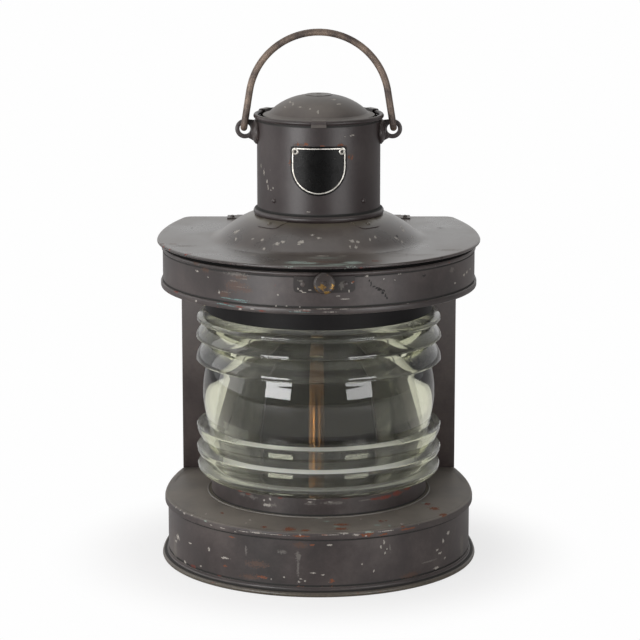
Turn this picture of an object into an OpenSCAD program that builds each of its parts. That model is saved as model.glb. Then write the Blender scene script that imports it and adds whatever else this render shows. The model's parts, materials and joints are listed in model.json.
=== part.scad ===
// Masthead lantern: painted sheet metal, drum lens, hinged lid with chimney, rod bail.
// Millimetres, +Z up, front towards -Y. The origin is on the lens axis, on the face that it stands on.
// Every D-shaped piece is drawn as a section whose x is the front radius, and swept round one plan.

/* [Plan] */
// Front radius of the base wall, outside
wall_r = 141.9; // [130:0.1:155]
// How much larger the flank radius is than the front radius
flank_shift = 160; // [120:1:220]
// Distance from the lens axis to the back of the base wall
rear_y = 105.4; // [98:0.1:115]
// Outside radius of the base wall's rear corners
corner_r = 3; // [2.5:0.1:6]
// Thickness of the body sheet
sheet = 0.8; // [0.6:0.1:1]

/* [Base] */
// Height of the base's upper edge
base_h = 59.5; // [52:0.5:70]
// How far the foot flares beyond the wall
foot_out = 6.8; // [4.5:0.1:8]
// Height of the flared foot
foot_h = 7; // [6:0.5:20]
// Radius of the wire in the foot's edge
foot_bead_r = 2.3; // [1.6:0.1:2.6]
// How far the top plate's lip stands out from the wall
lip_out = 2.9; // [2.2:0.1:5]
// Height of the top plate's lip
lip_h = 6.5; // [3:0.1:8]
// Rise of the top plate from its edge to the lens collar
plate_rise = 2.8; // [1.5:0.1:6]
// Width of the top plate's ledge inside the glass
lamp_ledge = 7; // [4:0.5:20]

/* [Lens] */
// Inside radius of the glass
glass_in_r = 95; // [93:0.1:96]
// Thickness of the glass where the collars hold it
neck_t = 3.6; // [3:0.1:4.5]
// Length of glass inside each collar
neck_len = 15; // [10:0.5:16]
// Thickness of the glass at the middle of the clear belt
belt_t = 13.7; // [12:0.1:17]
// How much the belt curves in towards its edges
belt_drop = 4.7; // [3:0.1:6]
// Thickness of the glass at the prism tips
tip_t = 19.3; // [17:0.1:23]
// Thickness of the glass at the foot of each prism
root_t = 9.6; // [7:0.1:11]
// Height of the first prism tip above and below the middle
tip_1 = 31.6; // [28:0.1:34]
// Height of the second prism tip
tip_2 = 52.7; // [48:0.1:56]
// Height of the third prism tip
tip_3 = 69.3; // [65:0.1:71]
// Height from the middle of the glass to the edge of each collar
glass_half = 78; // [76:0.5:82]

/* [Collars] */
// Room for putty between the glass and the lower collar
low_putty = 1.4; // [1:0.1:3]
// Height of the lower collar above its seat
low_collar_h = 17.7; // [16.5:0.1:20]
// Room for putty between the glass and the upper collar
top_putty = 5.7; // [4.4:0.1:7]
// Height of the upper collar
top_collar_h = 23; // [18:0.5:28]
// Thickness of the collars
collar_t = 1; // [0.8:0.1:1.2]
// Thickness of the putty under and over the glass
putty_t = 2; // [1:0.1:2.4]

/* [Back] */
// Distance from the lens axis to the front of the back plate
back_y = 84.5; // [81:0.1:88]
// Half the width of the back plate
back_half = 132; // [120:0.5:133]
// Depth of the bars that close the ends of the lens
bar_d = 9; // [7:0.1:12]
// Width of the mast socket's pocket
socket_w = 41; // [30:1:60]
// Depth of the mast socket's pocket
socket_d = 8.2; // [6:0.1:12]
// Height of the mast socket
socket_h = 100; // [60:1:120]
// Thickness of the mast socket's strap
strap_t = 1.5; // [1:0.1:2]
// Width of the mast socket's flanges
flange_w = 14; // [12:0.5:20]

/* [Top drum] */
// How far the top drum stands out from the base wall
drum_out = 2.6; // [1:0.1:8]
// Height of the top drum's wall
drum_h = 42.5; // [38:0.5:50]
// How far the lower band stands out
band_out = 1.9; // [1:0.1:3]
// Height of the lower band
band_h = 5.5; // [3:0.1:8]
// How far the upper bead stands out
bead_out = 1; // [0.6:0.1:1.6]
// Height of the upper bead
bead_h = 3.4; // [2:0.1:4.5]
// Distance from the wall's top to the bead
bead_drop = 5; // [3:0.1:6]

/* [Lid] */
// How far the lid reaches beyond the top drum's wall
lid_over = 5; // [4:0.1:8]
// Height of the lid's rolled edge
lid_edge_h = 3.5; // [2.5:0.1:4.5]
// Thickness of the lid plate
lid_t = 1; // [0.8:0.1:1.4]
// Gap between the lid plate and the top drum's wall
lid_gap = 0.3; // [0.3:0.1:0.6]
// Depth of the locating rim under the lid
locate_d = 10; // [6:0.5:14]
// Clearance round the locating rim
locate_gap = 1.1; // [1:0.1:1.8]
// Radius of the dome's foot
dome_r = 96; // [90:0.5:110]
// Height of the dome
dome_h = 22.7; // [16:0.1:30]
// Outside radius of the chimney
chimney_r = 56.8; // [50:0.1:62]
// Height of the rim's middle above the lid plate
chimney_h = 113.2; // [100:0.1:140]
// How far the dome's tabs reach from the chimney's wall
tab_reach = 16; // [10:0.5:24]
// Half the width of each tab
tab_half = 16; // [10:0.5:20]
// Radius of the wire in the chimney's rim
rim_bead_r = 2.2; // [1.6:0.1:3]
// Radius of the bead at the chimney's foot
foot_ring_r = 3.4; // [2.5:0.1:4]

/* [Cap] */
// Width of the gap between the cap and the rim's wire
vent_gap = 4.2; // [3:0.1:8]
// Height of the cap
cap_rise = 19.3; // [12:0.1:24]
// Width of the cap's brim
cap_brim = 6; // [4:0.1:9]
// Radius of the disc on the cap
disc_r = 12.4; // [8:0.1:16]
// Height of the disc on the cap
disc_t = 0.5; // [0.3:0.1:2]
// Width of each clip
clip_w = 13.4; // [9:0.1:18]
// Number of clips
clip_n = 3; // [3:1:6]

/* [Badge] */
// Half the width of the badge plate
badge_half = 26; // [18:0.5:30]
// Height of the badge plate
badge_h = 45; // [38:0.5:52]
// Distance from the rim's middle to the badge's upper edge
badge_drop = 21; // [16:0.5:28]
// Thickness of the badge plate
badge_t = 0.8; // [0.6:0.1:1.2]

/* [Bail] */
// Radius of the bail's rod
rod_r = 3.2; // [2.5:0.1:3.6]
// Radius of the bail's arch, to the rod's middle
arch_r = 64; // [63.5:0.1:68]
// Height of the arch's centre above the ears' pivot
arch_up = 18.3; // [14:0.1:40]
// Length of the hooked end beyond the pivot
hook_len = 16; // [8:0.5:24]
// Distance from the chimney to the middle of the ear's hole
ear_out = 11; // [10.6:0.1:13]
// Distance from the rim's middle down to the ear's hole
ear_drop = 12.5; // [11.5:0.1:16]
// Radius of the ear's hole
ear_hole_r = 5; // [4.6:0.1:6]
// Width of metal round the ear's hole
ear_rim = 4; // [3:0.1:4.4]
// Thickness of the ear
ear_t = 2.4; // [2:0.1:3]
// Thickness of the ear's pad
pad_t = 1.6; // [1:0.1:2.4]

/* [Latch] */
// Distance of the latch from the middle, to the right
latch_x = 5; // [-10:0.5:10]
// Distance from the drum wall's top down to the knob's middle
latch_drop = 13.5; // [13:0.1:20]
// Radius of the knob
knob_r = 9.5; // [7:0.1:10]
// Thickness of the knob
knob_t = 4; // [3:0.1:6]
// Distance from the latch plate to the knob
knob_gap = 3.6; // [3:0.1:6]
// Radius of the knob's shaft
shaft_r = 2.5; // [2:0.1:3]
// Width of the latch plate
latch_w = 54; // [40:1:64]
// Height of the latch plate
latch_h = 16; // [13:0.5:20]
// Thickness of the latch plate
latch_t = 1.2; // [0.8:0.1:1.6]
// Length of the clamp bar
clamp_l = 20; // [16:0.5:24]
// Width of the latch fork
fork_w = 26; // [20:0.5:30]
// Thickness of the latch fork
fork_t = 1.2; // [1:0.1:1.6]

/* [Hinge] */
// Distance of each hinge from the middle
hinge_x = 75; // [50:1:95]
// Width of each hinge
hinge_w = 26; // [20:0.5:36]
// Thickness of the hinge leaves
leaf_t = 1.2; // [1:0.1:1.5]
// Radius of the hinge knuckles
knuckle_r = 2.6; // [2.3:0.1:3]
// Radius of the hinge pins
pin_r = 1.2; // [0.9:0.1:1.4]
// Distance from the lid's rear edge to the pin's middle
hinge_back = 3.2; // [3.1:0.1:5]

/* [Lamp] */
// Radius of the oil font
font_r = 58; // [45:1:66]
// Height of the oil font
font_h = 44; // [30:0.5:46]
// Radius of the filler neck
filler_r = 7; // [5:0.1:9]
// Outside radius of the burner's collar
burner_r = 20; // [17:0.5:26]
// How far the lamp stands to the right of the middle
lamp_x = -2; // [-5:0.1:5]
// Outside radius of the wick tube
tube_r = 7.5; // [5.5:0.1:9]
// Wall of the wick tube
tube_t = 0.8; // [0.6:0.1:1.2]
// Height of the wick tube's top above the middle of the lens
tube_rise = 10; // [-24:0.5:24]
// How far the wick stands above its tube
wick_up = 3; // [1:0.5:6]
// Clearance round the wick
wick_gap = 0.4; // [0.3:0.1:0.6]
// Radius of the wheel that raises the wick
wheel_r = 3; // [2.4:0.1:4]
// Radius of the wick knob
wick_knob_r = 8; // [6:0.5:11]
// Length of the wick knob's shaft from the tube's axis
wick_shaft_l = 34; // [28:1:50]

/* [Hidden] */
$fn = 144;

fit = 0.1;            // gap between pieces that slide together
run_fit = 0.06;       // gap round a turning pin or shaft
far = 400;            // reach of the cutting blocks

corner_set = wall_r - corner_r;                 // front radius at which the rear corners would be sharp
rear_set = wall_r - rear_y;                     // front radius less rear distance, the same for all pieces
corner_y = rear_y - corner_r;
flank_reach = flank_shift + corner_set;
flank_turn = asin(corner_y / flank_reach);      // angle at which a flank runs into its corner
corner_x = sqrt(pow(flank_reach, 2) - pow(corner_y, 2)) - flank_shift;

neck_r = glass_in_r + neck_t;
belt_r = glass_in_r + belt_t;
tip_r = glass_in_r + tip_t;
root_r = glass_in_r + root_t;
lamp_hole_r = glass_in_r - lamp_ledge;
seat_z = base_h + plate_rise;                   // flat seat of the lower collar
low_collar_top = seat_z + low_collar_h;
lens_z = low_collar_top + glass_half;
glass_top = lens_z + glass_half + neck_len;
glass_low = lens_z - glass_half - neck_len;
top_collar_low = lens_z + glass_half;
low_collar_r = neck_r + low_putty + collar_t;
top_collar_r = neck_r + top_putty + collar_t;
drum_z = top_collar_low + top_collar_h;
drum_r = wall_r + drum_out;
drum_in_r = drum_r - sheet;
drum_top = drum_z + drum_h;
glass_end_y = back_y - bar_d;
bar_in_x = sqrt(pow(glass_in_r, 2) - pow(glass_end_y, 2)) - 2;
bar_out_x = sqrt(pow(tip_r, 2) - pow(glass_end_y, 2)) + 2;

lid_r = drum_r + lid_over;
lid_low = drum_top + lid_gap;
lid_z = lid_low + lid_t;
locate_r = drum_in_r - locate_gap;
lid_rear = lid_r - rear_set;
rim_z = lid_z + chimney_h;
rim_r = chimney_r + rim_bead_r / 2 - 0.1;       // the wire lies half outside the chimney's wall
chimney_top = rim_z - rim_bead_r;
dome_top = lid_z + dome_h;
foot_ring_z = dome_top + foot_ring_r - 0.9;
dome_bend = 1.6;                                // how sharply the dome turns down
dome_turn = 0.86;                               // share of its reach at which it turns out on to the lid
dome_edge = 0.6;                                // thickness of its edge on the lid
dome_turn_r = chimney_r + dome_turn * (dome_r - chimney_r);
dome_turn_h = dome_h * (1 - pow(dome_turn, dome_bend));
dome_slope = dome_h * dome_bend * pow(dome_turn, dome_bend - 1) / (dome_r - chimney_r);
dome_end_r = dome_turn_r + 2 * dome_turn_h / dome_slope;
cap_r = rim_r - rim_bead_r - vent_gap;
brim_r = cap_r - cap_brim;
cap_z = rim_z + 0.3;

ear_x = chimney_r + ear_out;
ear_z = rim_z - ear_drop;
pivot_z = ear_z + ear_hole_r + ear_rim / 2;
hook_gap = 0.5;
hook_r = sqrt(pow(ear_rim / 2, 2) + pow(ear_t / 2, 2)) + rod_r + hook_gap;
arch_reach = sqrt(pow(ear_x, 2) + pow(arch_up, 2));
arch_start = acos(arch_r / arch_reach) - atan2(arch_up, ear_x);   // where the legs meet the arch
leg_len = sqrt(pow(arch_reach, 2) - pow(arch_r, 2));

latch_z = drum_top - latch_drop;
latch_face = drum_r + latch_t;
fork_r = locate_r - sheet;
clamp_y = sqrt(pow(fork_r - fork_t, 2) - pow(abs(latch_x) + fork_w / 2, 2)) - 0.3;
clamp_t = 1.5;
clamp_h = 6;
slot_half = shaft_r + 0.7;
fork_gap = 0.5;                                 // from the fork to the ends of the locating rim

hinge_y = lid_rear + hinge_back;
hinge_z = lid_z - knuckle_r - 0.6;              // the knuckles lie behind the lid's rear edge
drum_rear = drum_r - rear_set;
tine_w = (hinge_w - 9.2) / 2;
leaf_l = 20;
fixed_leaf_l = 29;
leaf_bend = 11;                                 // from the wall's top down to where the leaf bends out
rivet_r = 2.2;
small_rivet_r = 1.6;

font_z = sheet;
font_top = font_z + font_h;
font_t = 0.8;
burner_h = 16;
burner_top = font_top + burner_h;
tube_top = lens_z + tube_rise;
wick_r = tube_r - tube_t - wick_gap;
wheel_y = wick_r + wheel_r + fit;
wheel_z = burner_top + wheel_r + 5;
spindle_r = 1.2;
bearing_x = tube_r + 3;

paint = "dimgray";
dark_paint = "darkslategray";
bare_brass = "goldenrod";

// Points of an arc about [x, y], from angle a0 to a1
function arc(x, y, r, a0, a1, n) =
    [for (i = [0:n]) [x + r * cos(a0 + (a1 - a0) * i / n), y + r * sin(a0 + (a1 - a0) * i / n)]];

// Edge of the plan behind the axis: straight at the rear, with straight stretches round the corners
function rear_edge(r) =
    let (bend = arc(corner_x, corner_y, r - corner_set, flank_turn, 90, 4))
    let (start = bend[0] + 20 * (bend[0] - bend[1]) / norm(bend[0] - bend[1]))
    concat(
        [[far, 0], [far, start[1]], start], [for (i = [1:4]) bend[i]],
        [for (i = [4:-1:1]) [-bend[i][0], bend[i][1]]], [[-start[0], start[1]], [-far, start[1]], [-far, 0]]
    );

// The plan whose front radius is r
module plan(r) {
    intersection() {
        circle(r = r);
        translate([-far, -far]) square([2 * far, far]);
    }
    intersection() {
        translate([-flank_shift, 0]) circle(r = r + flank_shift);
        translate([flank_shift, 0]) circle(r = r + flank_shift);
        polygon(rear_edge(r));
    }
}

module plate(r, low, high) {
    translate([0, 0, low]) linear_extrude(high - low) plan(r);
}

module wall(r_in, r_out, low, high) {
    translate([0, 0, low]) linear_extrude(high - low) difference() {
        plan(r_out);
        plan(r_in);
    }
}

// A band that stands out to r_out, its outer edges eased by e
module eased_wall(r_in, r_out, low, high, e) {
    wall(r_in, r_out - e, low, high);
    wall(r_in, r_out, low + e, high - e);
}

// Everything inside a line of [front radius, height] carried round the plan, with sharp rear corners
module plan_solid(line) {
    low = line[0][1];
    high = line[len(line) - 1][1];
    rotate([0, 0, 180]) rotate_extrude(angle = 180)
        polygon(concat([[0, low]], line, [[0, high]]));
    intersection() {
        for_flank(-1, line, low, high);
        for_flank(1, line, low, high);
        along_x(-far / 2, far / 2)
            polygon(concat([[0, low]], [for (p = line) [p[0] - rear_set, p[1]]], [[0, high]]));
    }
}

module for_flank(side, line, low, high) {
    translate([side * flank_shift, 0, 0]) rotate_extrude()
        polygon(concat([[0, low]], [for (p = line) [p[0] + flank_shift, p[1]]], [[0, high]]));
}

module behind(y) {
    translate([-far / 2, y, -10]) cube([far, far, 2 * far]);
}

module ring(r_out, r_in, low, high) {
    translate([0, 0, low]) difference() {
        cylinder(r = r_out, h = high - low);
        translate([0, 0, -1]) cylinder(r = r_in, h = high - low + 2);
    }
}

// A rivet head on a round wall of radius r, at angle a from the front
module wall_rivet(r, a, z, head) {
    rotate([0, 0, a]) difference() {
        translate([0, -r, z]) rotate([90, 0, 0]) sphere(r = head);
        translate([0, 0, z - 2 * head]) cylinder(r = r, h = 4 * head);
    }
}

// A rivet head on a flat face whose normal is +Y
module face_rivet(x, y, z, head) {
    translate([x, y, z]) rotate([-90, 0, 0]) difference() {
        sphere(r = head);
        translate([-2 * head, -2 * head, -4 * head]) cube([4 * head, 4 * head, 4 * head]);
    }
}

// BASE

module bottom_plate() {
    color(paint) plate(wall_r - sheet - fit, 0, sheet);
}

function flare(z) = wall_r + sheet + (foot_out - sheet) * (1 + cos(180 * z / foot_h)) / 2;

module foot() {
    steps = 7;
    b = foot_bead_r;
    bead_x = flare(b) - b + 0.4;
    z0 = 2 * b;
    lap = 1.5;
    heights = [for (i = [0:steps]) z0 + (foot_h - z0) * i / steps];
    color(paint) difference() {
        plan_solid(concat(
            arc(bead_x, b, b, -90, 100, 8), [for (z = heights) [flare(z), z]], [[wall_r + sheet, foot_h + lap]]
        ));
        plan_solid(concat(
            [[bead_x - 1.3, -1]], arc(bead_x, b, b, 235, 135, 5),
            [for (z = heights) [flare(z) - sheet, z + 0.2]], [[wall_r, foot_h + 0.3], [wall_r, foot_h + lap + 1]]
        ));
    }
}

module base_wall() {
    color(paint) wall(wall_r - sheet, wall_r, 0, base_h - sheet);
}

module base_top() {
    cone_r = wall_r - 1;
    color(paint) union() {
        eased_wall(wall_r + fit, wall_r + lip_out, base_h - lip_h, base_h, 0.6);
        translate([0, 0, base_h - sheet]) linear_extrude(sheet) difference() {
            plan(wall_r + 0.5);
            intersection() {
                circle(r = cone_r);
                translate([-far, back_y - 2 * far]) square([2 * far, 2 * far]);
            }
        }
        difference() {
            rotate_extrude() polygon([
                [lamp_hole_r, seat_z - sheet], [low_collar_r + 1, seat_z - sheet], [cone_r, base_h - sheet],
                [cone_r, base_h], [low_collar_r + 1, seat_z], [lamp_hole_r, seat_z]
            ]);
            behind(back_y);
        }
    }
}

// LENS AND COLLARS

// One side of a prism: in to the root, out to the tip, then curving in towards the next prism
function prism(tip, next, r, bend = 1.7) = concat(
    [[root_r, tip - 1.6], [r - 0.5, tip - 0.5]],
    [for (i = [0:6]) let (t = i / 7) [r - (r - root_r) * pow(t, bend), tip + 0.5 + (next - tip - 2.1) * t]]
);

// Outside of the glass from its middle to one end, as [radius, height above the middle]
function glass_side() = concat(
    [for (i = [0:6]) let (t = i / 7) [belt_r - belt_drop * t * t, (tip_1 - 1.6) * t]],
    prism(tip_1, tip_2, tip_r),
    prism(tip_2, tip_3, tip_r),
    prism(tip_3, glass_half + 1.6, tip_r - 0.8, 2.6),
    [[root_r, glass_half], [neck_r, glass_half], [neck_r, glass_half + neck_len]]
);

module lens() {
    side = glass_side();
    last = len(side) - 1;
    color("palegreen", 0.4) difference() {
        translate([0, 0, lens_z]) rotate_extrude() polygon(concat(
            [for (i = [0:last]) side[i]],
            [[glass_in_r, glass_half + neck_len], [glass_in_r, -glass_half - neck_len]],
            [for (i = [last:-1:1]) [side[i][0], -side[i][1]]]
        ));
        behind(glass_end_y);
    }
}

module lower_collar() {
    color(paint) difference() {
        ring(low_collar_r, low_collar_r - collar_t, seat_z, low_collar_top);
        behind(back_y);
    }
}

module lower_putty() {
    out_r = low_collar_r - collar_t;
    color("darkkhaki") difference() {
        rotate_extrude() polygon([
            [glass_in_r, seat_z], [out_r, seat_z], [out_r, low_collar_top - 1],
            [neck_r, low_collar_top - 1], [neck_r, glass_low], [glass_in_r, glass_low]
        ]);
        behind(back_y);
    }
}

module upper_putty() {
    out_r = top_collar_r - collar_t;
    color("darkkhaki") difference() {
        rotate_extrude() polygon([
            [neck_r, top_collar_low + 1], [out_r, top_collar_low + 1], [out_r, glass_top + putty_t],
            [glass_in_r, glass_top + putty_t], [glass_in_r, glass_top], [neck_r, glass_top]
        ]);
        behind(back_y);
    }
}

module upper_collar() {
    in_r = top_collar_r - collar_t;
    ledge = glass_top + putty_t;
    color(dark_paint) difference() {
        rotate_extrude() polygon([
            [in_r, top_collar_low], [top_collar_r, top_collar_low], [top_collar_r, drum_z], [in_r, drum_z],
            [in_r, ledge + collar_t], [glass_in_r, ledge + collar_t], [glass_in_r, ledge], [in_r, ledge]
        ]);
        behind(back_y);
    }
}

// BACK

module back_plate() {
    hem = 2.5;
    high = drum_z - base_h;
    color(paint) translate([0, back_y, base_h]) {
        translate([-back_half, 0, 0]) cube([2 * back_half, sheet, high]);
        for (side = [0, 1]) mirror([side, 0, 0])
            translate([back_half - hem, sheet, 0]) cube([hem, sheet, high]);
    }
}

module glazing_bars() {
    wide = bar_out_x - bar_in_x;
    color(paint) for (side = [0, 1]) mirror([side, 0, 0])
        translate([bar_in_x, glass_end_y, low_collar_top]) difference() {
            cube([wide, bar_d, 2 * glass_half]);
            translate([collar_t, collar_t, -1])
                cube([wide - 2 * collar_t, bar_d, 2 * glass_half + 2]);
        }
}

socket_low = (base_h + drum_z - socket_h) / 2;
socket_face = back_y + sheet;

module mast_socket() {
    half = socket_w / 2;
    color(dark_paint) for (side = [0, 1]) mirror([side, 0, 0])
        translate([0, socket_face, socket_low]) linear_extrude(socket_h) polygon([
            [0, socket_d], [half, socket_d], [half, 0], [half + flange_w, 0],
            [half + flange_w, strap_t], [half + strap_t, strap_t], [half + strap_t, socket_d + strap_t],
            [0, socket_d + strap_t]
        ]);
}

module socket_rivets() {
    across = socket_w / 2 + strap_t + (flange_w - strap_t) / 2;
    color(dark_paint) for (side = [-1, 1]) for (row = [-1:1])
        face_rivet(side * across, socket_face + strap_t,
            socket_low + socket_h / 2 + row * (socket_h / 2 - 12), rivet_r);
}

// TOP DRUM

module drum_floor() {
    color(paint) difference() {
        plate(drum_in_r - fit, drum_z, drum_z + sheet);
        difference() {
            translate([0, 0, drum_z - 1]) cylinder(r = glass_in_r, h = sheet + 2);
            behind(back_y);
        }
    }
}

module drum_band() {
    color(paint) eased_wall(drum_r, drum_r + band_out, drum_z, drum_z + band_h, 0.6);
}

module drum_wall() {
    top = drum_top - bead_drop;
    color(paint) difference() {
        union() {
            wall(drum_in_r, drum_r, drum_z, drum_top);
            eased_wall(drum_in_r, drum_r + bead_out, top - bead_h, top, 0.5);
        }
        translate([latch_x, -drum_in_r + 12, latch_z]) rotate([90, 0, 0])
            cylinder(r = shaft_r + run_fit, h = 30);
    }
}

// LATCH

module latch_plate() {
    half = latch_w / 2;
    cut = 4;
    color(paint) difference() {
        intersection() {
            ring(latch_face, drum_r, latch_z - latch_h, latch_z + latch_h);
            translate([latch_x, 0, latch_z]) rotate([90, 0, 0]) linear_extrude(far) polygon(concat(
                [[half, latch_h / 2 - 3]], [[-half, latch_h / 2 - 3]],
                arc(-half + cut, -latch_h / 2 - 3 + cut, cut, 180, 270, 4),
                arc(half - cut, -latch_h / 2 - 3 + cut, cut, 270, 360, 4)
            ));
        }
        translate([latch_x, -drum_in_r + 12, latch_z]) rotate([90, 0, 0])
            cylinder(r = shaft_r + run_fit, h = 30);
    }
}

module latch_rivets() {
    color(paint) for (side = [-1, 1]) intersection() {
        ring(latch_face + 0.8, latch_face, latch_z - latch_h, latch_z + latch_h);
        translate([latch_x + side * 0.35 * latch_w, 0, latch_z - 2]) rotate([90, 0, 0])
            cylinder(r = rivet_r, h = far);
    }
}

module latch_knob() {
    neck = latch_face + 0.3;
    face = latch_face + knob_gap;
    color("peru") translate([latch_x, 0, latch_z]) rotate([90, 0, 0]) {
        translate([0, 0, clamp_y]) cylinder(r = shaft_r, h = neck - clamp_y + 1);
        translate([0, 0, neck]) rotate_extrude() polygon([
            [0, 0], [shaft_r + 2, 0], [shaft_r + 2, face - neck], [knob_r - 1, face - neck],
            [knob_r, face - neck + 0.8], [knob_r, face - neck + knob_t - 0.8],
            [knob_r - 1, face - neck + knob_t], [0, face - neck + knob_t]
        ]);
    }
}

module latch_clamp() {
    color("peru") translate([latch_x, -clamp_y + clamp_t / 2, latch_z])
        cube([clamp_l, clamp_t, clamp_h], center = true);
}

module latch_fork() {
    low = latch_z - 10;
    color(paint) difference() {
        intersection() {
            ring(fork_r, fork_r - fork_t, low, lid_low);
            translate([latch_x - fork_w / 2, -far, low]) cube([fork_w, far, far]);
        }
        translate([latch_x, -fork_r + 20, latch_z]) rotate([90, 0, 0]) cylinder(r = slot_half, h = 40);
        translate([latch_x - slot_half, -fork_r - 20, low - 1]) cube([2 * slot_half, 40, latch_z - low + 1]);
    }
}

// HINGES

module along_hinges() {
    for (side = [-1, 1]) translate([side * hinge_x, 0, 0]) children();
}

// A section drawn as [y, z], extruded along X from x0 to x1
module along_x(x0, x1) {
    translate([x0, 0, 0]) rotate([90, 0, 90]) linear_extrude(x1 - x0) children();
}

module hinge_fixed_leaves() {
    low = drum_top - fixed_leaf_l;
    bend = drum_top - leaf_bend;
    back = hinge_y + knuckle_r - 0.3;
    color(paint) along_hinges() {
        along_x(-hinge_w / 2, hinge_w / 2) translate([drum_rear, low]) square([leaf_t, bend - low]);
        for (end = [-1, 1])
            along_x(end < 0 ? -hinge_w / 2 : hinge_w / 2 - tine_w, end < 0 ? tine_w - hinge_w / 2 : hinge_w / 2)
                difference() {
                    union() {
                        polygon([
                            [drum_rear, bend - 1], [drum_rear + leaf_t, bend - 1], [back, hinge_z - 3.6],
                            [back, hinge_z], [back - leaf_t, hinge_z], [back - leaf_t, hinge_z - 3],
                            [drum_rear, bend]
                        ]);
                        translate([hinge_y, hinge_z]) circle(r = knuckle_r);
                    }
                    translate([hinge_y, hinge_z]) circle(r = pin_r);
                }
    }
}

module hinge_pins() {
    color("dimgray") along_hinges()
        along_x(-hinge_w / 2 - 0.8, hinge_w / 2 + 0.8) translate([hinge_y, hinge_z]) circle(r = pin_r);
}

module hinge_fixed_rivets() {
    color(paint) along_hinges() for (side = [-1, 1])
        face_rivet(side * hinge_w * 0.3, drum_rear + leaf_t, drum_top - 22, small_rivet_r);
}

module hinge_lid_leaves() {
    middle = hinge_w / 2 - tine_w - 0.3;
    strap_y = hinge_y - knuckle_r;
    color(paint) along_hinges() {
        along_x(-hinge_w / 2, hinge_w / 2)
            translate([hinge_y - leaf_l, lid_z]) square([leaf_l - knuckle_r - 0.9, leaf_t]);
        along_x(-middle, middle) difference() {
            union() {
                translate([strap_y - 2, lid_z]) square([2 + leaf_t, leaf_t]);
                translate([strap_y, hinge_z]) square([leaf_t, lid_z + leaf_t - hinge_z]);
                translate([hinge_y, hinge_z]) circle(r = knuckle_r);
            }
            translate([hinge_y, hinge_z]) circle(r = pin_r + run_fit);
        }
    }
}

module hinge_lid_rivets() {
    color(paint) along_hinges() for (side = [-1, 1])
        translate([side * hinge_w * 0.31, hinge_y - leaf_l + 5, lid_z + leaf_t]) difference() {
            sphere(r = rivet_r);
            translate([-5, -5, -10]) cube([10, 10, 10]);
        }
}

// LID

module lid_plate() {
    low = lid_z - lid_edge_h;
    color(paint) difference() {
        union() {
            plate(lid_r - 1.5, lid_low, lid_z);
            eased_wall(lid_r - 2.2, lid_r, low, lid_z, 0.7);
        }
        translate([0, 0, low - 1]) cylinder(r = dome_r - 4, h = lid_edge_h + 2);
    }
}

// The rim is left out where the latch fork hangs and the clamp turns
module lid_locating_rim() {
    half = fork_w / 2 + fork_gap;
    low = lid_low - locate_d;
    color(paint) difference() {
        wall(locate_r - sheet, locate_r, low, lid_low);
        translate([latch_x - half, -far, low - 1]) cube([2 * half, far - dome_r, locate_d + 2]);
    }
}

// Height of the dome's outside: down from the chimney, then out in a curve that ends level on the lid
function dome_line(r) = lid_z + (r < dome_turn_r
    ? dome_h * (1 - pow((r - chimney_r) / (dome_r - chimney_r), dome_bend))
    : dome_turn_h * pow(max(0, dome_end_r - r) / (dome_end_r - dome_turn_r), 2));

// Section under a line that follows the dome at a height above it
module under_dome(above, r0, r1) {
    polygon(concat(
        [for (i = [0:10]) let (r = r0 + (r1 - r0) * i / 10) [r, dome_line(r) + above]],
        [[r1, dome_line(r1) - 20], [r0, dome_line(r1) - 20]]
    ));
}

module dome() {
    steps = 18;
    under_r = dome_end_r - (dome_end_r - dome_turn_r) * sqrt(sheet / dome_turn_h);
    color(paint) rotate_extrude() polygon(concat(
        [for (i = [0:steps]) let (r = chimney_r + (dome_end_r - chimney_r) * i / steps)
            [r, max(dome_line(r), lid_z + dome_edge)]],
        [[dome_end_r, lid_z], [under_r, lid_z]],
        [for (i = [steps - 1:-1:0]) let (r = chimney_r + (under_r - chimney_r) * i / steps)
            [r, dome_line(r) - sheet]]
    ));
}

module chimney() {
    color(paint) ring(chimney_r, chimney_r - sheet, dome_top - 3, chimney_top);
}

module chimney_foot_ring() {
    color(paint) rotate_extrude() difference() {
        translate([chimney_r, foot_ring_z]) circle(r = foot_ring_r);
        translate([0, foot_ring_z - 10]) square([chimney_r, 20]);
        translate([chimney_r - 5, dome_top - 20]) square([20, 20]);
    }
}

module chimney_rim() {
    color(paint) rotate_extrude() translate([rim_r, rim_z]) circle(r = rim_bead_r);
}

tab_angles = [42, -42, 138, -138];
tab_low_r = chimney_r + tab_reach;

module over_dome_tab() {
    under_dome(0.7, chimney_r + foot_ring_r + 0.2, tab_low_r);
}

module dome_tabs() {
    color(paint) for (a = tab_angles) rotate([0, 0, a]) intersection() {
        rotate_extrude() difference() {
            over_dome_tab();
            under_dome(0.03, chimney_r + 1, tab_low_r + 2);
        }
        translate([0, 0, lid_z]) linear_extrude(2 * dome_h) polygon([
            [-tab_half, -chimney_r], [-0.8 * tab_half, -tab_low_r + 3], [-tab_half / 2, -tab_low_r - 1],
            [tab_half / 2, -tab_low_r - 1], [0.8 * tab_half, -tab_low_r + 3], [tab_half, -chimney_r]
        ]);
    }
}

module tab_rivets() {
    r = (chimney_r + foot_ring_r + tab_low_r) / 2 + 0.5;
    color(paint) for (a = tab_angles) rotate([0, 0, a]) difference() {
        translate([0, -r, dome_line(r) + 0.7]) sphere(r = rivet_r);
        rotate_extrude() over_dome_tab();
    }
}

module chimney_rivets() {
    color(paint) for (a = [46, -46, 134, -134]) wall_rivet(chimney_r, a, lid_z + 40, rivet_r);
}

// CAP

// Height of the cap's outside, from its middle to its brim
function cap_line(r) = cap_z + cap_rise * pow(1 - pow(r / (brim_r + 2), 2.4), 0.85);

cap_radii = concat([0, disc_r / 2], [for (i = [0:8]) disc_r + (brim_r - disc_r) * sin(90 * i / 8)]);

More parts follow.
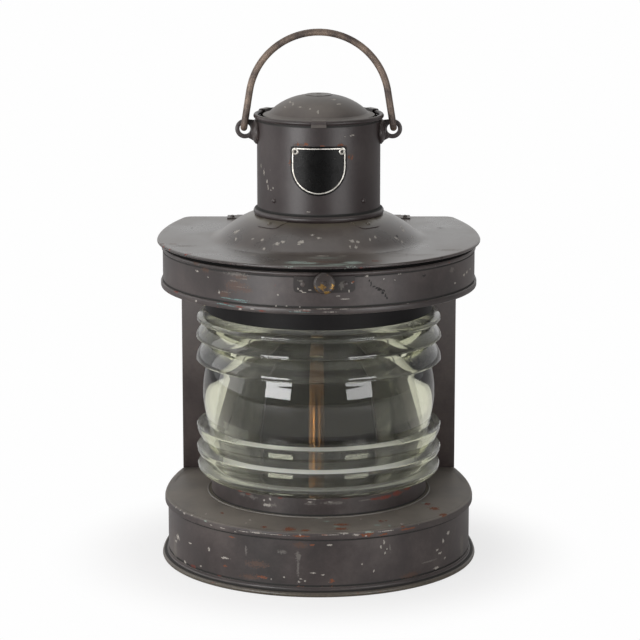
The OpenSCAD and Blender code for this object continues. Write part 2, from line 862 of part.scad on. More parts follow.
module cap() {
    inset = 0.55;
    last = len(cap_radii) - 1;
    color(paint) rotate_extrude() polygon(concat(
        [for (r = cap_radii) [r, cap_line(r)]],
        [[cap_r - 2.5, cap_z + 1.1], [cap_r, cap_z + sheet], [cap_r, cap_z], [cap_r - 1.2, cap_z]],
        [[cap_r - 2.7, cap_z + 0.3]],
        [for (i = [last:-1:0]) let (r = cap_radii[i]) [r * (1 - inset / brim_r), cap_line(r) - 0.9 * sheet]]
    ));
}

module cap_disc() {
    top = cap_line(0) + disc_t;
    color(paint) rotate_extrude() polygon([
        [0, cap_line(0)], [disc_r / 2, cap_line(disc_r / 2)], [disc_r, cap_line(disc_r)],
        [disc_r, top - 0.6], [disc_r - 1, top], [2, top], [2, top + 0.6], [0, top + 0.6]
    ]);
}

module cap_clips() {
    in_r = rim_r - rim_bead_r;
    out_r = rim_r + rim_bead_r + 0.2;
    over = rim_z + rim_bead_r + 0.1;
    t = sheet;
    low = cap_z - 0.1;
    half = asin(clip_w / 2 / out_r);
    color(paint) for (i = [0:clip_n - 1]) rotate([0, 0, -90 - half + i * 360 / clip_n])
        rotate_extrude(angle = 2 * half) polygon([
            [cap_r - 2.5, low - t], [in_r - 1, low - t], [in_r - 0.4, over], [out_r, over],
            [out_r, rim_z - 3.5], [out_r + t, rim_z - 3.5], [out_r + t, over + t], [in_r - 1.1, over + t],
            [in_r - 1.7, low], [cap_r - 2.5, low]
        ]);
}

// EARS, BADGE AND BAIL

module ears() {
    lug_r = ear_hole_r + ear_rim;
    lug_low = ear_z - lug_r - 3.2;
    pad_low = lug_low - 0.8;
    pad_half = lug_r + 0.5;
    color(paint) for (side = [0, 1]) mirror([side, 0, 0]) {
        translate([0, ear_t / 2, 0]) rotate([90, 0, 0]) linear_extrude(ear_t) difference() {
            polygon(concat(
                [[chimney_r + pad_t / 2, lug_low]],
                arc(ear_x, ear_z, lug_r, -110, 95, 16),
                [[chimney_r + pad_t / 2, ear_z + lug_r - 1]]
            ));
            translate([ear_x, ear_z]) circle(r = ear_hole_r);
        }
        intersection() {
            ring(chimney_r + pad_t, chimney_r, pad_low, ear_z + lug_r - 0.6);
            translate([0, -pad_half, pad_low]) cube([far, 2 * pad_half, far]);
        }
    }
}

module ear_rivets() {
    color(paint) for (a = [83.8, 96.2, -83.8, -96.2]) wall_rivet(chimney_r + pad_t, a, ear_z - 1, small_rivet_r);
}

badge_z = rim_z - badge_drop;
badge_round = badge_half;      // the lower end is a half circle as wide as the plate

module badge() {
    side_low = badge_z - badge_h + badge_round;
    color("black") intersection() {
        ring(chimney_r + badge_t, chimney_r, badge_z - badge_h - 1, badge_z + 1);
        rotate([90, 0, 0]) linear_extrude(far) polygon(concat(
            arc(0, side_low, badge_round, 180, 360, 24),
            arc(badge_half - 3, badge_z - 3, 3, 0, 90, 4),
            arc(-badge_half + 3, badge_z - 3, 3, 90, 180, 4)
        ));
    }
}

module badge_eyelets() {
    r = chimney_r + badge_t;
    color("silver") for (side = [-1, 1]) wall_rivet(r, side * asin((badge_half - 5) / r), badge_z - 5, rivet_r);
}

module bail() {
    arch_z = pivot_z + arch_up;
    color("saddlebrown") {
        translate([0, -hook_r, arch_z]) rotate([90, 0, 0]) rotate([0, 0, arch_start])
            rotate_extrude(angle = 180 - 2 * arch_start) translate([arch_r, 0]) circle(r = rod_r + 0.04);
        for (side = [0, 1]) mirror([side, 0, 0])
            translate([ear_x, 0, pivot_z]) rotate([0, -arch_start, 0]) {
                translate([0, -hook_r, 0]) cylinder(r = rod_r, h = leg_len + 0.2);
                rotate([0, 90, 0]) rotate([0, 0, -90]) rotate_extrude(angle = 180)
                    translate([hook_r, 0]) circle(r = rod_r);
                translate([0, hook_r, 0]) cylinder(r = rod_r, h = hook_len);
            }
    }
}

// LAMP

module at_lamp(x = 0, y = 0, z = 0) {
    translate([lamp_x + x, y, z]) children();
}

module font() {
    color("darkgoldenrod") at_lamp() rotate_extrude() difference() {
        polygon([
            [0, font_z], [font_r, font_z], [font_r, font_top - 10], [font_r - 6, font_top - 3],
            [burner_r, font_top], [0, font_top]
        ]);
        polygon([
            [0, font_z + font_t], [font_r - font_t, font_z + font_t], [font_r - font_t, font_top - 10.5],
            [font_r - 6.5, font_top - 3.9], [burner_r, font_top - font_t - 0.1], [burner_r - 6, font_top - font_t],
            [burner_r - 6, font_top + 1], [0, font_top + 1]
        ]);
    }
}

module font_cap() {
    x = (font_r + burner_r) / 2;
    low = font_top - 3 * (x - burner_r) / (font_r - 6 - burner_r) + 0.6;
    color(bare_brass) at_lamp(x, 0, low) rotate_extrude() polygon([
        [0, 0], [filler_r, 0], [filler_r, 5], [filler_r - 1, 6], [2, 6], [2, 8], [0, 8]
    ]);
}

module burner() {
    color(bare_brass) at_lamp() difference() {
        union() {
            translate([0, 0, font_top]) rotate_extrude() polygon([
                [tube_r, 0], [burner_r, 0], [burner_r, 4], [burner_r - 5, 6], [burner_r - 5, 9],
                [burner_r - 2, burner_h - 3], [burner_r - 2, burner_h], [tube_r, burner_h]
            ]);
            for (side = [-1, 1]) translate([side * bearing_x - 1.5, -wheel_y - 3, burner_top - 0.5])
                cube([3, 6, wheel_z - burner_top + 4]);
        }
        translate([-30, -wheel_y, wheel_z]) rotate([0, 90, 0]) cylinder(r = spindle_r + run_fit, h = 60);
        for (a = [0:30:330]) rotate([0, 0, a + 15]) translate([0, 0, font_top + 11])
            rotate([90, 0, 0]) translate([0, 0, tube_r + 2]) cylinder(r = 1.6, h = 20);
    }
}

module wick_tube() {
    color(bare_brass) at_lamp() difference() {
        ring(tube_r, tube_r - tube_t, font_top - 20, tube_top);
        translate([-1.7, -wheel_y, wheel_z - wheel_r - 0.6]) cube([3.4, wheel_y, 2 * wheel_r + 1.2]);
    }
}

module wick() {
    low = font_z + font_t + 6;
    color("ivory") at_lamp(0, 0, low) cylinder(r = wick_r, h = tube_top + wick_up - low);
}

module wick_wheel() {
    color(bare_brass) at_lamp(0, -wheel_y, wheel_z) rotate([0, 90, 0]) {
        translate([0, 0, -bearing_x - 4]) cylinder(r = spindle_r, h = wick_shaft_l + bearing_x + 2);
        translate([0, 0, -1.2]) cylinder(r = wheel_r, h = 2.4);
    }
}

module wick_knob() {
    color(bare_brass) at_lamp(wick_shaft_l, -wheel_y, wheel_z) rotate([0, 90, 0]) difference() {
        translate([0, 0, -2]) cylinder(r = wick_knob_r, h = 3);
        translate([0, 0, -3]) cylinder(r = spindle_r, h = 3);
    }
}

bottom_plate();
foot();
base_wall();
base_top();
lower_collar();
lower_putty();
lens();
upper_putty();
upper_collar();
drum_floor();
drum_band();
drum_wall();
back_plate();
glazing_bars();
mast_socket();
socket_rivets();
hinge_fixed_leaves();
hinge_pins();
hinge_fixed_rivets();
latch_plate();
latch_rivets();
font();
font_cap();
burner();
wick_tube();
latch_knob();
latch_clamp();
wick_wheel();
wick_knob();
wick();
lid_plate();
lid_locating_rim();
dome();
chimney_foot_ring();
chimney();
chimney_rim();
dome_tabs();
tab_rivets();
chimney_rivets();
cap();
cap_disc();
cap_clips();
ears();
ear_rivets();
badge();
badge_eyelets();
hinge_lid_leaves();
hinge_lid_rivets();
latch_fork();
bail();
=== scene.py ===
"""A ship's masthead lantern: painted sheet metal, ribbed drum lens, hinged lid and rod bail."""

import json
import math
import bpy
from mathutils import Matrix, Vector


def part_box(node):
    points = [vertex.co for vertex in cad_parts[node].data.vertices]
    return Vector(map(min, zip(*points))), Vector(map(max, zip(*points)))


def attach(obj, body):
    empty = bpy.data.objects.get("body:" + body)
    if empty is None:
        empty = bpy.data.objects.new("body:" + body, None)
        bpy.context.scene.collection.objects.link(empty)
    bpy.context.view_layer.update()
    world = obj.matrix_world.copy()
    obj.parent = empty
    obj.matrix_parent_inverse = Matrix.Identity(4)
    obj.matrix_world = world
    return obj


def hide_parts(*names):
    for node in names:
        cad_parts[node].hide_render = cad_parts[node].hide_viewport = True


bl_info = {
    "name": "Masthead Lantern",
    "version": (1, 0, 0),
    "blender": (4, 5, 0),
    "location": "3D View > Sidebar > Lantern",
    "description": "Dresses the packed frame of a masthead lantern",
    "category": "Add Mesh",
}

import bpy
from bpy.props import FloatProperty, IntProperty, PointerProperty, StringProperty
from mathutils import Vector

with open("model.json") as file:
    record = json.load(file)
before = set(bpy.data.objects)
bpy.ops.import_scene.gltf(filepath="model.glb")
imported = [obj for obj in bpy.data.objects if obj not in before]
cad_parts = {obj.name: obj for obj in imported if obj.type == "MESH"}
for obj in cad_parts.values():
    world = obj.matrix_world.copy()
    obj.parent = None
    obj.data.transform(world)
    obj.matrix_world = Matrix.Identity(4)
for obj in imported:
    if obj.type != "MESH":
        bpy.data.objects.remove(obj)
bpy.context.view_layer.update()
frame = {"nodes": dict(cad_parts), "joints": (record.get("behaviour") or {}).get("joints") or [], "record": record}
MM = 0.001

# The photograph: a square of this many pixels, seen with the stage's camera
PHOTO_SIDE = 640
SENSOR = 36.0
CAMERA_X = 0.0012
MM_PER_PIXEL = 0.9

# Sizes of the solids, in millimetres, that can't be read from their boxes
FOOT_OUT = 6.8
FOOT_H = 7.0
FOOT_BEAD_R = 2.3
LIP_H = 6.5
LIP_OUT = 2.9
DOME_R = 96.0
DOME_BEND = 1.6
DOME_TURN_R = 90.51
DOME_TURN_H = 4.87
CAP_RISE = 19.3
CAP_BRIM = 6.0
GLASS_IN_R = 95.0
NECK_R = 98.6
BELT_R = 108.7
BELT_DROP = 4.7
ROOT_R = 104.6
TIP_R = 114.3
TIPS = (31.6, 52.7, 69.3)
GLASS_HALF = 78.0
NECK_LEN = 15.0

# Marks of wear: the pixel of the photograph that each is on, and its half width and half height
# in pixels
WALL_MARKS = {
    "smear": ((257, 564, 13, 4), (250, 577, 11, 3), (300, 545, 8, 3), (410, 575, 12, 3), (262, 590, 18, 3)),
    "orange": (
        (331, 589, 4, 2.5), (332, 581, 3, 2), (301, 588, 6, 2), (225, 566, 2, 1.2), (312, 545, 3, 1),
        (232, 537, 4, 1), (262, 577, 6, 1.5)),
    "rub": (
        (298, 556, 3, 5), (298, 568, 1.2, 9), (246, 550, 1, 5), (430, 561, 12, 0.8), (282, 552, 5, 2),
        (175, 548, 5, 16), (462, 545, 4, 14), (390, 548, 1, 4)),
    "bare": (
        (226, 558, 4.5, 1), (223, 558, 2, 0.8), (209, 549, 1, 2), (384, 542, 1, 2), (381, 547, 1, 1.5),
        (436, 568, 3.2, 1.4), (448, 533, 2, 2), (443, 541, 1.2, 2.5), (437, 550, 1.5, 1), (440, 553, 2, 1.2),
        (445, 558, 1, 1.2), (301, 579, 1.6, 1), (305, 581, 1.2, 1), (284, 577, 1.2, 0.8), (271, 579, 1, 0.7),
        (178, 537, 2, 3), (176, 541, 1.2, 1.2), (185, 562, 1.6, 1.4), (188, 568, 1.2, 1), (330, 545, 3, 1),
        (218, 580, 1, 0.8), (236, 582, 3, 1), (241, 583, 2, 0.8), (209, 578, 1, 0.8), (362, 564, 0.8, 1.4),
        (374, 571, 0.8, 1.6), (385, 553, 0.8, 1.4), (387, 549, 0.8, 0.8), (313, 573, 3, 0.8), (323, 575, 2, 0.7),
        (316, 538, 2, 0.7), (190, 543, 2, 0.8), (201, 566, 1, 1), (299, 582, 1.8, 1.2)),
}
PLATE_MARKS = {
    "verdigris": (
        (326.5, 521.3, 3, 0.5), (336.8, 526.4, 3, 0.5), (377.5, 525, 4, 0.6), (389.4, 525.6, 1.5, 0.8),
        (368.8, 532.2, 7, 0.5), (424, 502.8, 3, 0.8), (318, 517.8, 4, 0.5), (205, 521, 4, 0.6)),
    "red_lead": ((427.3, 503.9, 4, 0.9), (381, 522, 2, 0.5)),
    "orange": (
        (289.5, 529.3, 6.5, 1.6), (305, 530.5, 5, 0.8), (342, 524.5, 8, 0.9), (341, 528.8, 7, 0.9),
        (434, 508.5, 6, 1.3), (386, 520.7, 1.5, 0.8), (412, 528, 6, 0.7), (367, 534, 8, 1.3),
        (381, 521, 3, 0.7), (264, 527, 3, 0.7),
        (443, 515, 5, 0.9), (385, 534, 4, 0.7), (300, 536, 8, 0.6), (222, 513, 2, 0.7)),
    "rub": (
        (322, 520, 9, 0.9), (306, 519, 7, 0.6), (206, 520, 12, 1.4), (256, 532, 16, 0.8), (415, 498, 5, 1),
        (383, 522, 8, 0.8), (190, 513, 8, 1)),
    "bare": (
        (320, 518, 3, 0.5), (176, 507, 1.5, 0.7), (184, 513, 2, 0.6), (180, 510, 1.5, 0.5),
        (192, 515, 1.4, 0.5), (344, 533, 6, 0.35), (402, 524, 2, 0.5), (356, 535, 4, 0.35), (206, 514, 1.2, 0.5),
        (246, 523, 1, 0.4), (250, 520, 1.2, 0.4), (361, 519, 1.2, 0.4), (414, 498, 2, 0.5)),
}
LIP_MARKS = {
    "bare": (
        (211, 525, 2, 0.4), (222, 528, 4, 0.5), (235, 531.5, 1.2, 0.7), (243, 531.3, 6, 0.4), (256, 532.8, 7, 0.6),
        (275, 534.6, 16, 0.35), (300, 535.2, 1.2, 0.7), (386, 531, 8, 0.5), (366, 536, 1.2, 0.8), (330, 535, 10, 0.3)),
    "orange": ((280, 534.9, 3, 0.8), (366, 535, 6, 1.8), (407, 529, 8, 1.0), (403, 527, 3, 0.7), (444, 515, 4, 1.2),
        (382, 535, 3, 0.6), (325, 535, 4, 0.7)),
}
COLLAR_MARKS = {
    "red_lead": (
        (232, 487, 6, 1.4), (240, 491, 4, 1.2), (385, 497, 11, 2.2), (397, 493, 8, 2.6), (407, 488, 6, 2.4),
        (415, 483, 4, 2.0),
        (374, 499, 6, 1.2), (248, 494, 3, 1), (280, 498, 3, 0.8), (346, 498, 4, 1.0), (212, 478, 2, 2)),
    "rub": (
        (242, 494, 4, 2.6), (252, 497, 6, 2.2), (334, 503, 10, 1.8), (272, 505, 6, 1.6), (310, 504, 6, 1),
        (366, 500, 7, 1)),
    "bare": (
        (267, 505, 4.5, 1.6), (264, 500, 1, 1), (270, 499, 1.4, 1.4), (313, 499, 6.5, 0.9), (310, 502, 4, 0.6),
        (397, 488, 1.6, 1.0), (330, 502, 3, 0.7)),
}
DRUM_MARKS = {
    "smear": (
        (236, 286, 13, 6), (240, 277, 10, 3), (224, 294, 8, 4), (205, 270, 6, 2.5), (246, 290, 7, 3),
        (196, 262, 4, 3)),
    "rub": (
        (236, 274, 13, 2), (226, 292, 5, 0.5), (240, 287, 7, 0.5), (233, 281, 5, 0.6), (244, 279, 4, 0.5),
        (452, 270, 3, 3)),
    "turquoise": ((226, 298, 7, 0.45), (240, 300, 9, 0.7), (231, 299, 5, 0.4), (243, 302, 5, 0.4)),
    "dark": (
        (369.5, 281, 0.9, 1.2), (371, 283.5, 0.9, 2.2), (373.5, 286.5, 2.2, 1.1), (376.5, 288, 2.4, 1.0),
        (379.5, 289.5, 2.2, 1.5), (383, 292.5, 1.8, 1.7), (385.5, 295.5, 1.4, 1.8), (387, 298, 1.0, 1.4),
        (383, 290.3, 1.6, 0.7), (423.6, 275.8, 2, 1.4)),
    "bare": (
        (219, 292, 0.9, 2), (208, 277, 0.8, 0.8), (197, 271, 1.6, 0.8), (367, 276, 1.6, 0.9), (467, 272, 1.0, 1.3),
        (470, 269, 0.8, 1.0), (464, 275, 1.2, 1.4), (278, 295, 0.8, 0.8), (300, 307, 1, 0.6), (395, 280, 1, 0.5),
        (384, 279, 0.8, 0.8), (455, 283, 0.8, 0.8), (345, 299, 4, 0.4), (338, 296, 2, 0.4), (400, 274, 2, 0.4),
        (276, 306, 0.8, 0.8), (286, 306, 1.6, 0.5)),
}
BAND_MARKS = {
    "red_lead": (
        (240, 307, 4, 0.8), (226, 303, 3, 0.8), (305, 311, 5, 0.5), (398, 303, 5, 0.6), (420, 298, 8, 0.7),
        (176, 291, 4, 2), (262, 311, 4, 0.6)),
    "turquoise": ((222, 304, 6, 0.5), (231, 306, 5, 0.4), (300, 312, 10, 0.3)),
    "bare": (
        (181, 292, 2.2, 1.6), (190, 293, 1.2, 1.2), (196, 301, 1, 1.2), (240, 309, 1.2, 1.0), (252, 309, 3, 0.4),
        (305, 310, 8, 0.4), (325, 309, 8, 0.4), (297, 311, 4, 0.3), (330, 312, 8, 0.4), (379, 304, 3, 0.6),
        (363, 306, 3, 0.4), (408, 303, 1, 0.8), (345, 309, 5, 0.3)),
}
LATCH_MARKS = {
    "bare": (
        (301, 291, 1.4, 0.8), (304, 292.5, 2.4, 0.4), (310, 290, 1.6, 0.5), (349, 291, 1.0, 1.6), (352, 283, 1, 0.6),
        (298, 289, 0.8, 1.2)),
    "orange": ((353, 282, 1.2, 1.0),),
    "rub": ((300, 281, 3, 1.2), (342, 286, 3, 4)),
}
LID_MARKS = {
    "smear": ((318, 262, 30, 0.9), (172, 244, 6, 0.8), (162, 244, 3, 1.0)),
    "verdigris": (
        (297, 262.6, 11, 1.9), (308, 263.2, 10, 1.2), (353, 262.8, 9, 1.8), (338, 264.4, 12, 0.8),
        (320, 265.8, 34, 0.5), (324, 258, 18, 0.4)),
    "red_lead": ((376, 261, 5, 0.4), (163, 246, 3, 0.6), (188, 254, 4, 0.4), (169, 249, 3, 0.4)),
    "rub": (
        (420, 255, 20, 0.6), (395, 256, 14, 0.5), (318, 257, 14, 0.35), (400, 254, 12, 0.4), (298, 258, 9, 0.4),
        (448, 250, 12, 1.0), (185, 246, 12, 1.2)),
    "dark": ((192, 228, 1.2, 0.4), (231, 219, 3, 0.4), (397, 236, 2, 0.4), (440, 228, 4, 0.4)),
    "bare": (
        (236, 232, 2.6, 0.7), (239, 230, 1.4, 0.5), (236, 239, 1.2, 0.7), (253, 239, 1.4, 0.3),
        (262, 240, 2, 0.3), (277, 244, 3.5, 0.5), (283, 242, 2, 0.4), (301, 242, 3, 0.5), (299, 244, 2, 0.3),
        (264, 249, 1.8, 0.5), (319, 238, 2.4, 0.35), (312, 235, 2, 0.3), (352, 241, 2.4, 0.5), (358, 242, 2, 0.3),
        (356, 247, 1.4, 0.6), (350, 247, 1, 0.4), (375, 237, 1.2, 0.5), (370, 240, 1, 0.4), (403, 230, 1.6, 1.0),
        (401, 227, 1.0, 0.8), (396, 238, 2.4, 0.3), (402, 242, 1.2, 0.6), (412, 237, 1, 0.5),
        (322, 256, 7, 0.25), (312, 258, 6, 0.2), (344, 256, 4, 0.25), (253, 255, 4, 0.3)),
}
CHIMNEY_MARKS = {
    "smear": ((300, 145, 8, 1.6), (297, 160, 5, 5), (343, 147, 5, 2), (350, 156, 3, 3), (300, 172, 4, 3)),
    "orange": (
        (306, 144.5, 2.5, 1.6), (298, 144, 1.2, 2), (341, 145, 3, 1.4), (291, 163, 2, 3), (298, 173, 1.6, 2.4),
        (349, 157, 1.2, 1.6), (352, 158, 1, 2), (303, 181, 2, 1.5), (322, 146, 3, 0.6), (308, 187, 2, 1)),
    "bare": (
        (353, 135, 1.8, 0.9), (351, 136, 1, 0.8), (345, 136.5, 1, 0.4), (264, 172, 0.6, 3), (267, 181, 0.8, 2.2),
        (268, 187, 0.8, 2.4), (271, 190, 1.2, 0.6), (273, 188, 0.8, 1), (270, 170, 0.6, 0.7), (308, 212, 3, 0.5),
        (261, 166, 0.5, 3)),
}
CAP_MARKS = {
    "bare": (
        (318, 112, 1.2, 1.8), (310, 109, 0.8, 0.6), (293, 104, 1.2, 1.8), (290, 102, 1.4, 0.8), (339, 104, 3, 0.5),
        (334, 99.5, 3, 0.5), (285, 107, 1, 0.6), (300, 107, 3, 0.4)),
}


def high(node, axis=2):
    """Highest coordinate of a CAD node, in millimetres."""
    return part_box(node)[1][axis] / MM


def low(node, axis=2):
    """Lowest coordinate of a CAD node, in millimetres."""
    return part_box(node)[0][axis] / MM


# The plan of the base, the drum and the lid: a half circle in front, long flanks, two round
# corners and a straight rear. Pieces on it differ only in their front radius.
SHEET = 0.8
WALL_R = high("base_wall", 0)
FLANK_SHIFT = 160.0
CORNER_SET = WALL_R - 3.0
REAR_SET = WALL_R - high("base_wall", 1)
CORNER_Y = CORNER_SET - REAR_SET
FLANK_TURN = math.asin(CORNER_Y / (FLANK_SHIFT + CORNER_SET))
CORNER_X = (FLANK_SHIFT + CORNER_SET) * math.cos(FLANK_TURN) - FLANK_SHIFT

BASE_H = high("base_wall") + SHEET
SEAT_Z = low("lower_collar")
LOW_COLLAR_TOP = high("lower_collar")
COLLAR_SEAT_R = high("lower_collar", 0) + 3.4
LENS_Z = (low("lens") + high("lens")) / 2
TOP_COLLAR_LOW = low("upper_collar")
DRUM_Z = low("drum_wall")
DRUM_TOP = high("drum_wall")
BACK_Y = low("back_plate", 1)
GLASS_END_Y = low("glazing_bars", 1)
DRUM_R = WALL_R + 2.6
LID_R = high("lid_plate", 0)
LID_Z = high("lid_plate")
CHIMNEY_R = high("chimney", 0)
RIM_Z = (low("chimney_rim") + high("chimney_rim")) / 2
RIM_BEAD_R = (high("chimney_rim") - low("chimney_rim")) / 2
RIM_R = high("chimney_rim", 0) - RIM_BEAD_R
DOME_TOP = high("dome")
DOME_END_R = high("dome", 0)
CAP_Z = low("cap")
CAP_R = high("cap", 0)
CAP_TOP = high("cap")
LATCH_X = (low("latch_knob", 0) + high("latch_knob", 0)) / 2
LATCH_Z = (low("latch_knob") + high("latch_knob")) / 2
KNOB_R = (high("latch_knob") - low("latch_knob")) / 2
KNOB_FACE_Y = low("latch_knob", 1)
PIVOT = [joint for joint in frame["joints"] if joint["name"] == "bail_swing"][0]["pos_m"]
PIVOT_Z = PIVOT[2] / MM


class LanternShape(bpy.types.PropertyGroup):
    """Sizes that may be changed without leaving the frame"""

    round_steps: IntProperty(
        name="Round steps", description="Straight stretches in a full turn of a round piece",
        default=160, min=24, max=360)
    front_steps: IntProperty(
        name="Front steps", description="Straight stretches in the quarter turn of a D-shaped piece",
        default=40, min=8, max=90)
    sheet: FloatProperty(
        name="Sheet", description="Thickness of the body sheet",
        default=SHEET * MM, min=0.0004, max=0.0015, unit="LENGTH")
    rod: FloatProperty(
        name="Bail rod", description="Radius of the bail's rod",
        default=3.2 * MM, min=0.002, max=0.0036, unit="LENGTH")
    badge_border: FloatProperty(
        name="Badge border", description="Width of the pale line round the badge",
        default=1.0 * MM, min=0.0005, max=0.004, unit="LENGTH")


class LanternFinish(bpy.types.PropertyGroup):
    """Colours, as sRGB hex values"""

    # the body paint and the chimney paint are lit and shaded copies of one topcoat: painted light
    paint: StringProperty(name="Paint", description="Old topcoat", default="3c3433")
    paint_dark: StringProperty(name="Dark paint", description="Topcoat where it is thick", default="2b2625")
    paint_worn: StringProperty(name="Worn paint", description="Chalked and rubbed topcoat", default="524a47")
    stack: StringProperty(name="Chimney paint", description="Topcoat of the chimney", default="312828")
    # lighter topcoat for the strips beside the lens: painted light
    back: StringProperty(name="Back paint", description="Topcoat beside the lens", default="4c4341")
    soot: StringProperty(name="Soot", description="Brown soot and painted shade behind the lens", default="1b140f")
    crust: StringProperty(name="Crust", description="Greenish brown crust on beads and joints", default="615a4a")
    # near-black paint for the upper collar: painted shade under the drum
    collar: StringProperty(name="Collar paint", description="Near-black paint of the upper collar, a painted shade", default="131112")
    dust: StringProperty(name="Dust", description="Dust and chalk on level parts, and a painted sheen", default="837c73")
    red_lead: StringProperty(name="Red lead", description="Primer under the topcoat", default="6e3022")
    orange: StringProperty(name="Orange primer", description="Primer, scraped clean", default="734027")
    bare: StringProperty(name="Bare chips", description="Zinc and old white paint in chips", default="a39d95")
    smear: StringProperty(name="Rubbed rust", description="Thin rust rubbed into the paint", default="573824")
    rub: StringProperty(name="Rubbed paint", description="Grey rubbing marks", default="77726c")
    verdigris: StringProperty(name="Green crust", description="Pale green crust", default="86938a")
    turquoise: StringProperty(name="Turquoise scratches", description="Old paint in scratches", default="62817e")
    dark: StringProperty(name="Scratch", description="Scratch that lost its dust", default="120f0e")
    brass: StringProperty(name="Brass", description="Aged brass", default="6f4c2a")
    # grime colour, used both for dirt and for painted shade along the seams
    grime_and_shade: StringProperty(name="Grime", description="Greenish brown dirt and painted shade in the seams", default="12100d")
    glass: StringProperty(name="Glass", description="Surface tint of the pressed glass", default="f0f0ea")
    rust: StringProperty(name="Rust", description="Rusted iron rod", default="857365")


class LanternStage(bpy.types.PropertyGroup):
    """Camera and light"""

    camera_height: FloatProperty(
        name="Camera height", description="Height of the camera above the floor",
        default=0.746, min=0.0, max=3.0, unit="LENGTH")
    camera_distance: FloatProperty(
        name="Camera distance", description="Distance from the lens axis to the camera",
        default=2.4974, min=0.5, max=8.0, unit="LENGTH")
    camera_pitch: FloatProperty(
        name="Camera pitch", description="How far the camera looks down",
        default=math.radians(11.81), min=0.0, max=1.2, subtype="ANGLE")
    focal_length: FloatProperty(
        name="Focal length", description="Focal length in millimetres on a 36 mm sensor",
        default=153.9, min=20.0, max=400.0)


# Modelling


def clear_selection():
    """Leave edit mode and deselect everything."""
    if bpy.context.mode != "OBJECT":
        bpy.ops.object.mode_set(mode="OBJECT")
    bpy.ops.object.select_all(action="DESELECT")


def edit(piece):
    """Open one piece in edit mode."""
    clear_selection()
    piece.select_set(True)
    bpy.context.view_layer.objects.active = piece
    bpy.ops.object.mode_set(mode="EDIT")


def draw_line(name, points, closed=False):
    """A corner of a plane, extruded from point to point; the points are in millimetres."""
    clear_selection()
    bpy.ops.mesh.primitive_plane_add(size=2 * MM, location=(0, 0, 0))
    piece = bpy.context.active_object
    piece.name = name
    piece.data.name = name
    bpy.ops.object.mode_set(mode="EDIT")
    bpy.ops.mesh.select_mode(type="VERT")
    bpy.ops.mesh.select_all(action="SELECT")
    bpy.ops.mesh.merge(type="CENTER")
    here = Vector(points[0]) * MM
    bpy.ops.transform.translate(value=here)
    for point in points[1:] + (points[:1] if closed else []):
        step = Vector(point) * MM - here
        bpy.ops.mesh.extrude_region_move(TRANSFORM_OT_translate={"value": step})
        here = here + step
    bpy.ops.mesh.select_all(action="SELECT")
    bpy.ops.mesh.remove_doubles(threshold=1e-6)
    bpy.ops.mesh.select_all(action="SELECT")
    return piece


def spin(steps, degrees, center=(0, 0, 0), axis=(0, 0, 1)):
    """Spin what is selected, clockwise seen against the axis; the centre is in millimetres."""
    bpy.ops.mesh.spin(
        steps=steps, angle=math.radians(degrees), center=Vector(center) * MM, axis=axis)


def tidy_mesh():
    """Merge doubles and turn all faces outwards."""
    bpy.ops.mesh.select_all(action="SELECT")
    bpy.ops.mesh.remove_doubles(threshold=2e-6)
    bpy.ops.mesh.normals_make_consistent(inside=False)


def lathe(name, line, closed=True, steps=None):
    """A line of (radius, height) spun round the lens axis."""
    piece = draw_line(name, [(r, 0, z) for r, z in line], closed)
    spin(steps or bpy.context.scene.lantern_shape.round_steps, 360)
    tidy_mesh()
    return piece


def carry_round_plan(name, line, closed=True):
    """A line of (front radius, height) carried round the plan: rear, corner, flank and front."""
    steps = bpy.context.scene.lantern_shape.front_steps
    piece = draw_line(name, [(0, r - REAR_SET, z) for r, z in line], closed)
    bpy.ops.mesh.extrude_region_move(TRANSFORM_OT_translate={"value": (CORNER_X * MM, 0, 0)})
    turn = math.degrees(FLANK_TURN)
    spin(6, 90 - turn, (CORNER_X, CORNER_Y, 0))
    spin(8, turn, (-FLANK_SHIFT, 0, 0))
    spin(steps, 90)
    bpy.ops.object.mode_set(mode="OBJECT")
    mirror = piece.modifiers.new("Mirror", "MIRROR")
    mirror.use_axis[0] = True
    mirror.use_mirror_merge = True
    mirror.merge_threshold = 5e-6
    bpy.ops.object.modifier_apply(modifier=mirror.name)
    bpy.ops.object.mode_set(mode="EDIT")
    tidy_mesh()
    return piece


def prism(name, outline, reach):
    """A closed outline filled and extruded by reach; both in millimetres."""
    piece = draw_line(name, outline, closed=True)
    bpy.ops.mesh.edge_face_add()
    bpy.ops.mesh.extrude_region_move(TRANSFORM_OT_translate={"value": Vector(reach) * MM})
    tidy_mesh()
    return piece


def cut_away(y, keep_front=True):
    """Cut the open piece by an upright plane across it, and close the cut."""
    bpy.ops.mesh.select_all(action="SELECT")
    bpy.ops.mesh.bisect(
        plane_co=(0, y * MM, 0), plane_no=(0, 1, 0), use_fill=True,
        clear_outer=keep_front, clear_inner=not keep_front)
    bpy.ops.mesh.select_all(action="SELECT")


def thicken(piece, thickness, offset=-1.0):
    """Give an open sheet its thickness, in millimetres."""
    bpy.ops.object.mode_set(mode="OBJECT")
    solid = piece.modifiers.new("Solidify", "SOLIDIFY")
    solid.thickness = thickness * MM
    solid.offset = offset
    solid.use_even_offset = True
    bpy.ops.object.modifier_apply(modifier=solid.name)
    bpy.ops.object.mode_set(mode="EDIT")


def bevel_edges(piece, width, segments=2, angle=30):
    """Round the sharp edges of a piece; the width is in millimetres."""
    if bpy.context.mode != "OBJECT":
        bpy.ops.object.mode_set(mode="OBJECT")
    bevel = piece.modifiers.new("Bevel", "BEVEL")
    bevel.width = width * MM
    bevel.segments = segments
    bevel.limit_method = "ANGLE"
    bevel.angle_limit = math.radians(angle)
    bevel.use_clamp_overlap = True
    bpy.ops.object.modifier_apply(modifier=bevel.name)
    bpy.ops.object.mode_set(mode="EDIT")


def join(name, pieces):
    """Join several pieces into the first one."""
    clear_selection()
    for piece in pieces:
        piece.select_set(True)
    bpy.context.view_layer.objects.active = pieces[0]
    bpy.ops.object.join()
    pieces[0].name = name
    pieces[0].data.name = name
    return pieces[0]


